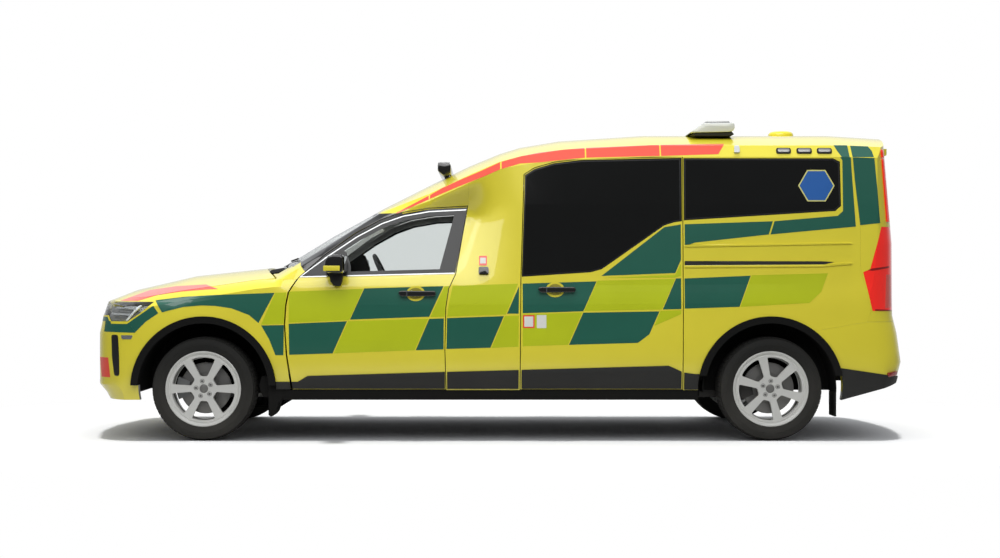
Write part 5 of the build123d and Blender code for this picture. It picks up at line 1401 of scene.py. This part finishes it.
# Columns: name, lift, thickness, material, slot, corner radius, corners
ROOF_LAMPS = [("white_lamp", 0.020, 0.024, lens_pale, "lamp_glass", 0.008, [
    (-1.694, 2.080), (-1.736, 2.080), (-1.734, 2.130), (-1.698, 2.130)])]
for k, (front, back) in enumerate(((-2.002, -2.109), (-2.150, -2.261), (-2.298, -2.407))):
    ROOF_LAMPS.append((f"side_lamp_base_{k}", 0.008, 0.011, black_trim, "black_plastic", 0.016,
                       oblong(front, back, 2.076, 2.118)))
    ROOF_LAMPS.append((f"side_lamp_{k}", 0.015, 0.018, aluminium, "lamp_glass", 0.012,
                       oblong(front - 0.01, back + 0.01, 2.085, 2.110)))
for name, lift, thickness, material, slot, radius, outline in ROOF_LAMPS:
    slab = beveled(cut_from("roof", rounded(outline, radius), lift, thickness), 0.003, 2, 60)
    on_both_sides(name, slab, "roof", material)

work_low, work_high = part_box("work_lamp_bar")
painted_node("antenna_dome", yellow_lacquer)
WORK_LAMP = [
    (0.468, 2.046), (0.384, 2.046), (0.372, 2.030), (0.372, 1.972), (0.398, 1.952), (0.430, 1.955),
    (0.468, 1.985),
]
lamp_box = beveled(drawn_out(WORK_LAMP, work_low.y, work_high.y), 0.004, 2, 30)
work = placed_piece("work_lamp_housing", lamp_box, "body", gloss_black)
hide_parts("work_lamp_bar")
lamp_faces, fins, feet = [], [], []
for k in range(6):
    y = work_low.y + (k + 0.5) * (work_high.y - work_low.y) / 6
    window = rounded(oblong(y - 0.062, y + 0.062, 1.992, 2.036), 0.008)
    lamp_faces.append(drawn_out(window, 0.462, 0.471, 0))
for k in range(9):
    x = 0.382 + k * 0.0095
    fins.append(drawn_out(oblong(x, x + 0.004, 2.040, 2.052), work_low.y + 0.01, work_high.y - 0.01))
for y in (-0.33, 0.33):
    bracket = [(0.425, 1.96), (0.385, 1.965), (0.352, 1.905), (0.372, 1.88), (0.410, 1.885)]
    feet.append(beveled(drawn_out(bracket, y - 0.02, y + 0.02), 0.004, 2, 40))
    feet.append(facing(lathe([(0, 0.004), (0.012, 0.004), (0.013, 0), (0.013, -0.004), (0, -0.004)], 12),
                       (0.395, y + 0.024, 1.93), (0, 1, 0)))
placed_piece("work_lamp_faces", joined(*lamp_faces), "body", lens_pale)
placed_piece("work_lamp_fins", joined(*fins), "body", gloss_black)
placed_piece("work_lamp_feet", joined(*feet), "body", gloss_black)

# The cab, as seen through its glass: cushioned seats on dark bases, a moulded dashboard with its
# cluster, screen and vents, a leather-rimmed wheel, wipers on the screen, and a stretcher behind.
soft_black = finish("soft_black", srgb(44, 45, 46), 0.7, 0.08, 0.05, 1100, 0.00015)
seat_cloth = finish("seat_cloth", srgb(52, 54, 58), 0.9, 0.12, 0.0, 1600, 0.0004, Sheen_Weight=0.3)
screen_black = finish("screen_black", srgb(10, 11, 13), 0.08, 0.05, 0.0, Coat_Weight=1.0)
lining = finish("lining", srgb(168, 168, 164), 0.85, 0.06, 0.0, 1500, 0.0002)
mattress = finish("mattress", srgb(38, 62, 108), 0.7, 0.1, 0.0, 900, 0.0002)
CUSHION_CUTS = 10


def cushion(size, place, lean=0.0, puff=0.14, seams=0):
    """A stuffed block: rounded edges, full faces, and sewn seams across it."""
    bm = bmesh.new()
    bmesh.ops.create_cube(bm, size=2)
    bmesh.ops.subdivide_edges(bm, edges=bm.edges, cuts=CUSHION_CUTS, use_grid_fill=True)
    for v in bm.verts:
        u = v.co.copy()
        spare = [1 - puff * (u[(k + 1) % 3] ** 4 + u[(k + 2) % 3] ** 4) for k in range(3)]
        dip = 0.0
        if seams:
            phase = abs(((u.y * 0.5 + 0.5) * seams) % 1 - 0.5) * 2
            dip = 0.06 * max(0, phase - 0.8) / 0.2
        v.co = Vector(u[k] * (spare[k] - dip) * size[k] / 2 for k in range(3))
    bmesh.ops.rotate(bm, cent=(0, 0, 0), matrix=Matrix.Rotation(lean, 3, "Y"), verts=bm.verts)
    bmesh.ops.translate(bm, vec=place, verts=bm.verts)
    return bm


def block(x, y, z, ease=0.01):
    """A plain box between limits, with eased edges."""
    return beveled(drawn_out(oblong(*x, *z), *y), ease, 2, 50)


seat_low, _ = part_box("front_seats")
# Columns: name, size, place ahead of the seat's back, height, lean, seams
SEAT_CUSHIONS = [
    ("seat_base", (0.52, 0.50, 0.15), 0.36, 0.745, -0.10, 3),
    ("seat_back", (0.15, 0.50, 0.60), 0.10, 1.045, -0.20, 3),
    ("headrest", (0.10, 0.27, 0.17), 0.052, 1.385, -0.12, 0),
]
for side_name, side in SIDES:
    y = side * 0.39
    for name, size, ahead_of_back, z, lean, seams in SEAT_CUSHIONS:
        bm = cushion(size, (seat_low.x + ahead_of_back, y, z), lean, 0.14, seams)
        piece = placed_piece(f"{name}_{side_name}", bm, "body", seat_cloth, radians(70))
        if name == "seat_base" and side > 0:
            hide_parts("front_seats")
    plinth = block((seat_low.x + 0.06, seat_low.x + 0.60), (y - 0.21, y + 0.21), (0.471, 0.675), 0.02)
    placed_piece(f"seat_plinth_{side_name}", plinth, "body", soft_black)
    post_x = seat_low.x + 0.05, seat_low.x + 0.062
    posts = [block(post_x, (aside - 0.006, aside + 0.006), (1.27, 1.36), 0.003)
             for aside in (y - 0.06, y + 0.06)]
    placed_piece(f"headrest_posts_{side_name}", joined(*posts), "body", lamp_silver)

dash = merged_copy("dashboard")
bmesh.ops.dissolve_limit(dash, angle_limit=radians(1), verts=dash.verts, edges=dash.edges)
dash = beveled(dash, 0.014, 3, 30)
dash_piece = placed_piece("dashboard_moulding", dash, "body", soft_black)
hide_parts("dashboard")
dash_low, dash_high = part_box("dashboard")
face_x = dash_low.x
hood = cushion((0.20, 0.36, 0.10), (face_x + 0.16, 0.39, dash_high.z + 0.02), 0.0, 0.1)
placed_piece("cluster_hood", hood, "body", soft_black)
placed_piece("cluster_screen", block((face_x + 0.058, face_x + 0.066), (0.25, 0.53),
             (dash_high.z - 0.005, dash_high.z + 0.055), 0.003), "body", screen_black)
placed_piece("centre_screen", block((face_x - 0.012, face_x + 0.02), (-0.12, 0.12),
             (dash_high.z - 0.20, dash_high.z + 0.03), 0.008), "body", screen_black)
vents = []
for y in (-0.70, -0.18, 0.18, 0.70):
    for k in range(4):
        z = dash_high.z - 0.075 + k * 0.016
        vents.append(block((face_x - 0.006, face_x + 0.01), (y - 0.05, y + 0.05), (z, z + 0.006), 0.001))
placed_piece("dash_vents", joined(*vents), "body", lamp_silver)

# Columns: node, material
DRESSED = [
    ("arch_trims", sill_trim), ("sill_cladding", sill_trim), ("mudflaps", sill_trim),
    ("cowl_tray", sill_trim), ("floor_pan", sill_trim), ("wheel_housings", sill_trim),
    ("hinge_pillars", black_edge), ("front_subframe", black_edge), ("rear_axle", black_edge),
    ("engine_block", lamp_housing), ("knuckle_left", lamp_housing), ("knuckle_right", lamp_housing),
    ("steering_column", soft_black), ("steering_wheel", soft_black), ("bulkhead", lining),
]
for node, material in DRESSED:
    painted_node(node, material)

# A gearbox and a tray under the engine, seen where the bonnet is up.
gearbox = joined(block((1.05, 1.86), (-0.17, 0.17), (0.34, 0.60), 0.04),
                 block((1.60, 2.62), (-0.46, 0.46), (0.335, 0.36), 0.01),
                 block((1.60, 1.88), (-0.40, 0.40), (0.365, 0.62), 0.05))
placed_piece("gearbox", gearbox, "body", black_trim)

stretcher_low, stretcher_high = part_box("stretcher")
middle_x = (stretcher_low.x + stretcher_high.x) / 2
pad_size = stretcher_high.x - stretcher_low.x - 0.04, 0.52, 0.10
pad = cushion(pad_size, (middle_x, 0, stretcher_high.z - 0.04), 0, 0.06)
pad_piece = placed_piece("stretcher_mattress", pad, "body", mattress, radians(70))
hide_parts("stretcher")
rails = [block((stretcher_low.x, stretcher_high.x), (y - 0.012, y + 0.012),
               (stretcher_high.z - 0.115, stretcher_high.z - 0.085), 0.008) for y in (-0.26, 0.26)]
cross_rail = stretcher_high.z - 0.12, stretcher_high.z - 0.09
rails += [block((x - 0.015, x + 0.015), (-0.26, 0.26), cross_rail, 0.008) for x in (-2.1, -1.25, -0.4)]
rails += [block((x - 0.018, x + 0.018), (y - 0.018, y + 0.018), (0.471, stretcher_high.z - 0.1), 0.006)
          for x in (-2.1, -0.4) for y in (-0.24, 0.24)]
placed_piece("stretcher_frame", joined(*rails), "body", aluminium)
ROD_SIDES = 10


def rod_between(a, b, radius):
    """A round rod between two points."""
    a, b = Vector(a), Vector(b)
    bm = bmesh.new()
    bmesh.ops.create_cone(bm, cap_ends=True, segments=ROD_SIDES, radius1=radius, radius2=radius,
                          depth=(b - a).length)
    turn = Vector((0, 0, 1)).rotation_difference(b - a).to_matrix().to_4x4()
    bmesh.ops.transform(bm, matrix=Matrix.Translation((a + b) / 2) @ turn, verts=bm.verts)
    return bm


def on_screen(y, share):
    """A place on the windscreen, from its foot to its top, a little off the glass."""
    low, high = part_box("windscreen")
    x = high.x - 0.06 + (low.x - high.x) * share
    hit, normal, _, _ = tree_of("windscreen").ray_cast(Vector((x, y, 3)), Vector((0, 0, -1)))
    if hit is None:
        hit, normal, _, _ = tree_of("windscreen").find_nearest(Vector((x, y, 1.5)))
    return hit + normal * 0.007


wipers = []
for foot_y, tip_y in ((0.62, 0.02), (0.02, -0.58)):
    foot, tip = on_screen(foot_y, 0.015), on_screen(tip_y, 0.025)
    elbow = on_screen((foot_y + tip_y) / 2, 0.03)
    wipers += [rod_between(foot + Vector((0.015, 0, -0.005)), elbow + Vector((0, 0, 0.003)), 0.006),
               rod_between(on_screen(foot_y - 0.04, 0.02), tip, 0.005)]
placed_piece("wipers", joined(*wipers), "body", black_trim)
rear_wiper = [rod_between((tail_x - 0.012, 0.0, 1.30), (plate_x, -0.30, 1.36), 0.006),
              rod_between((tail_x + 0.01, 0.02, 1.345), (tail_x + 0.01, -0.5, 1.365), 0.005)]
placed_piece("rear_wiper", joined(*rear_wiper), "tailgate", black_trim)
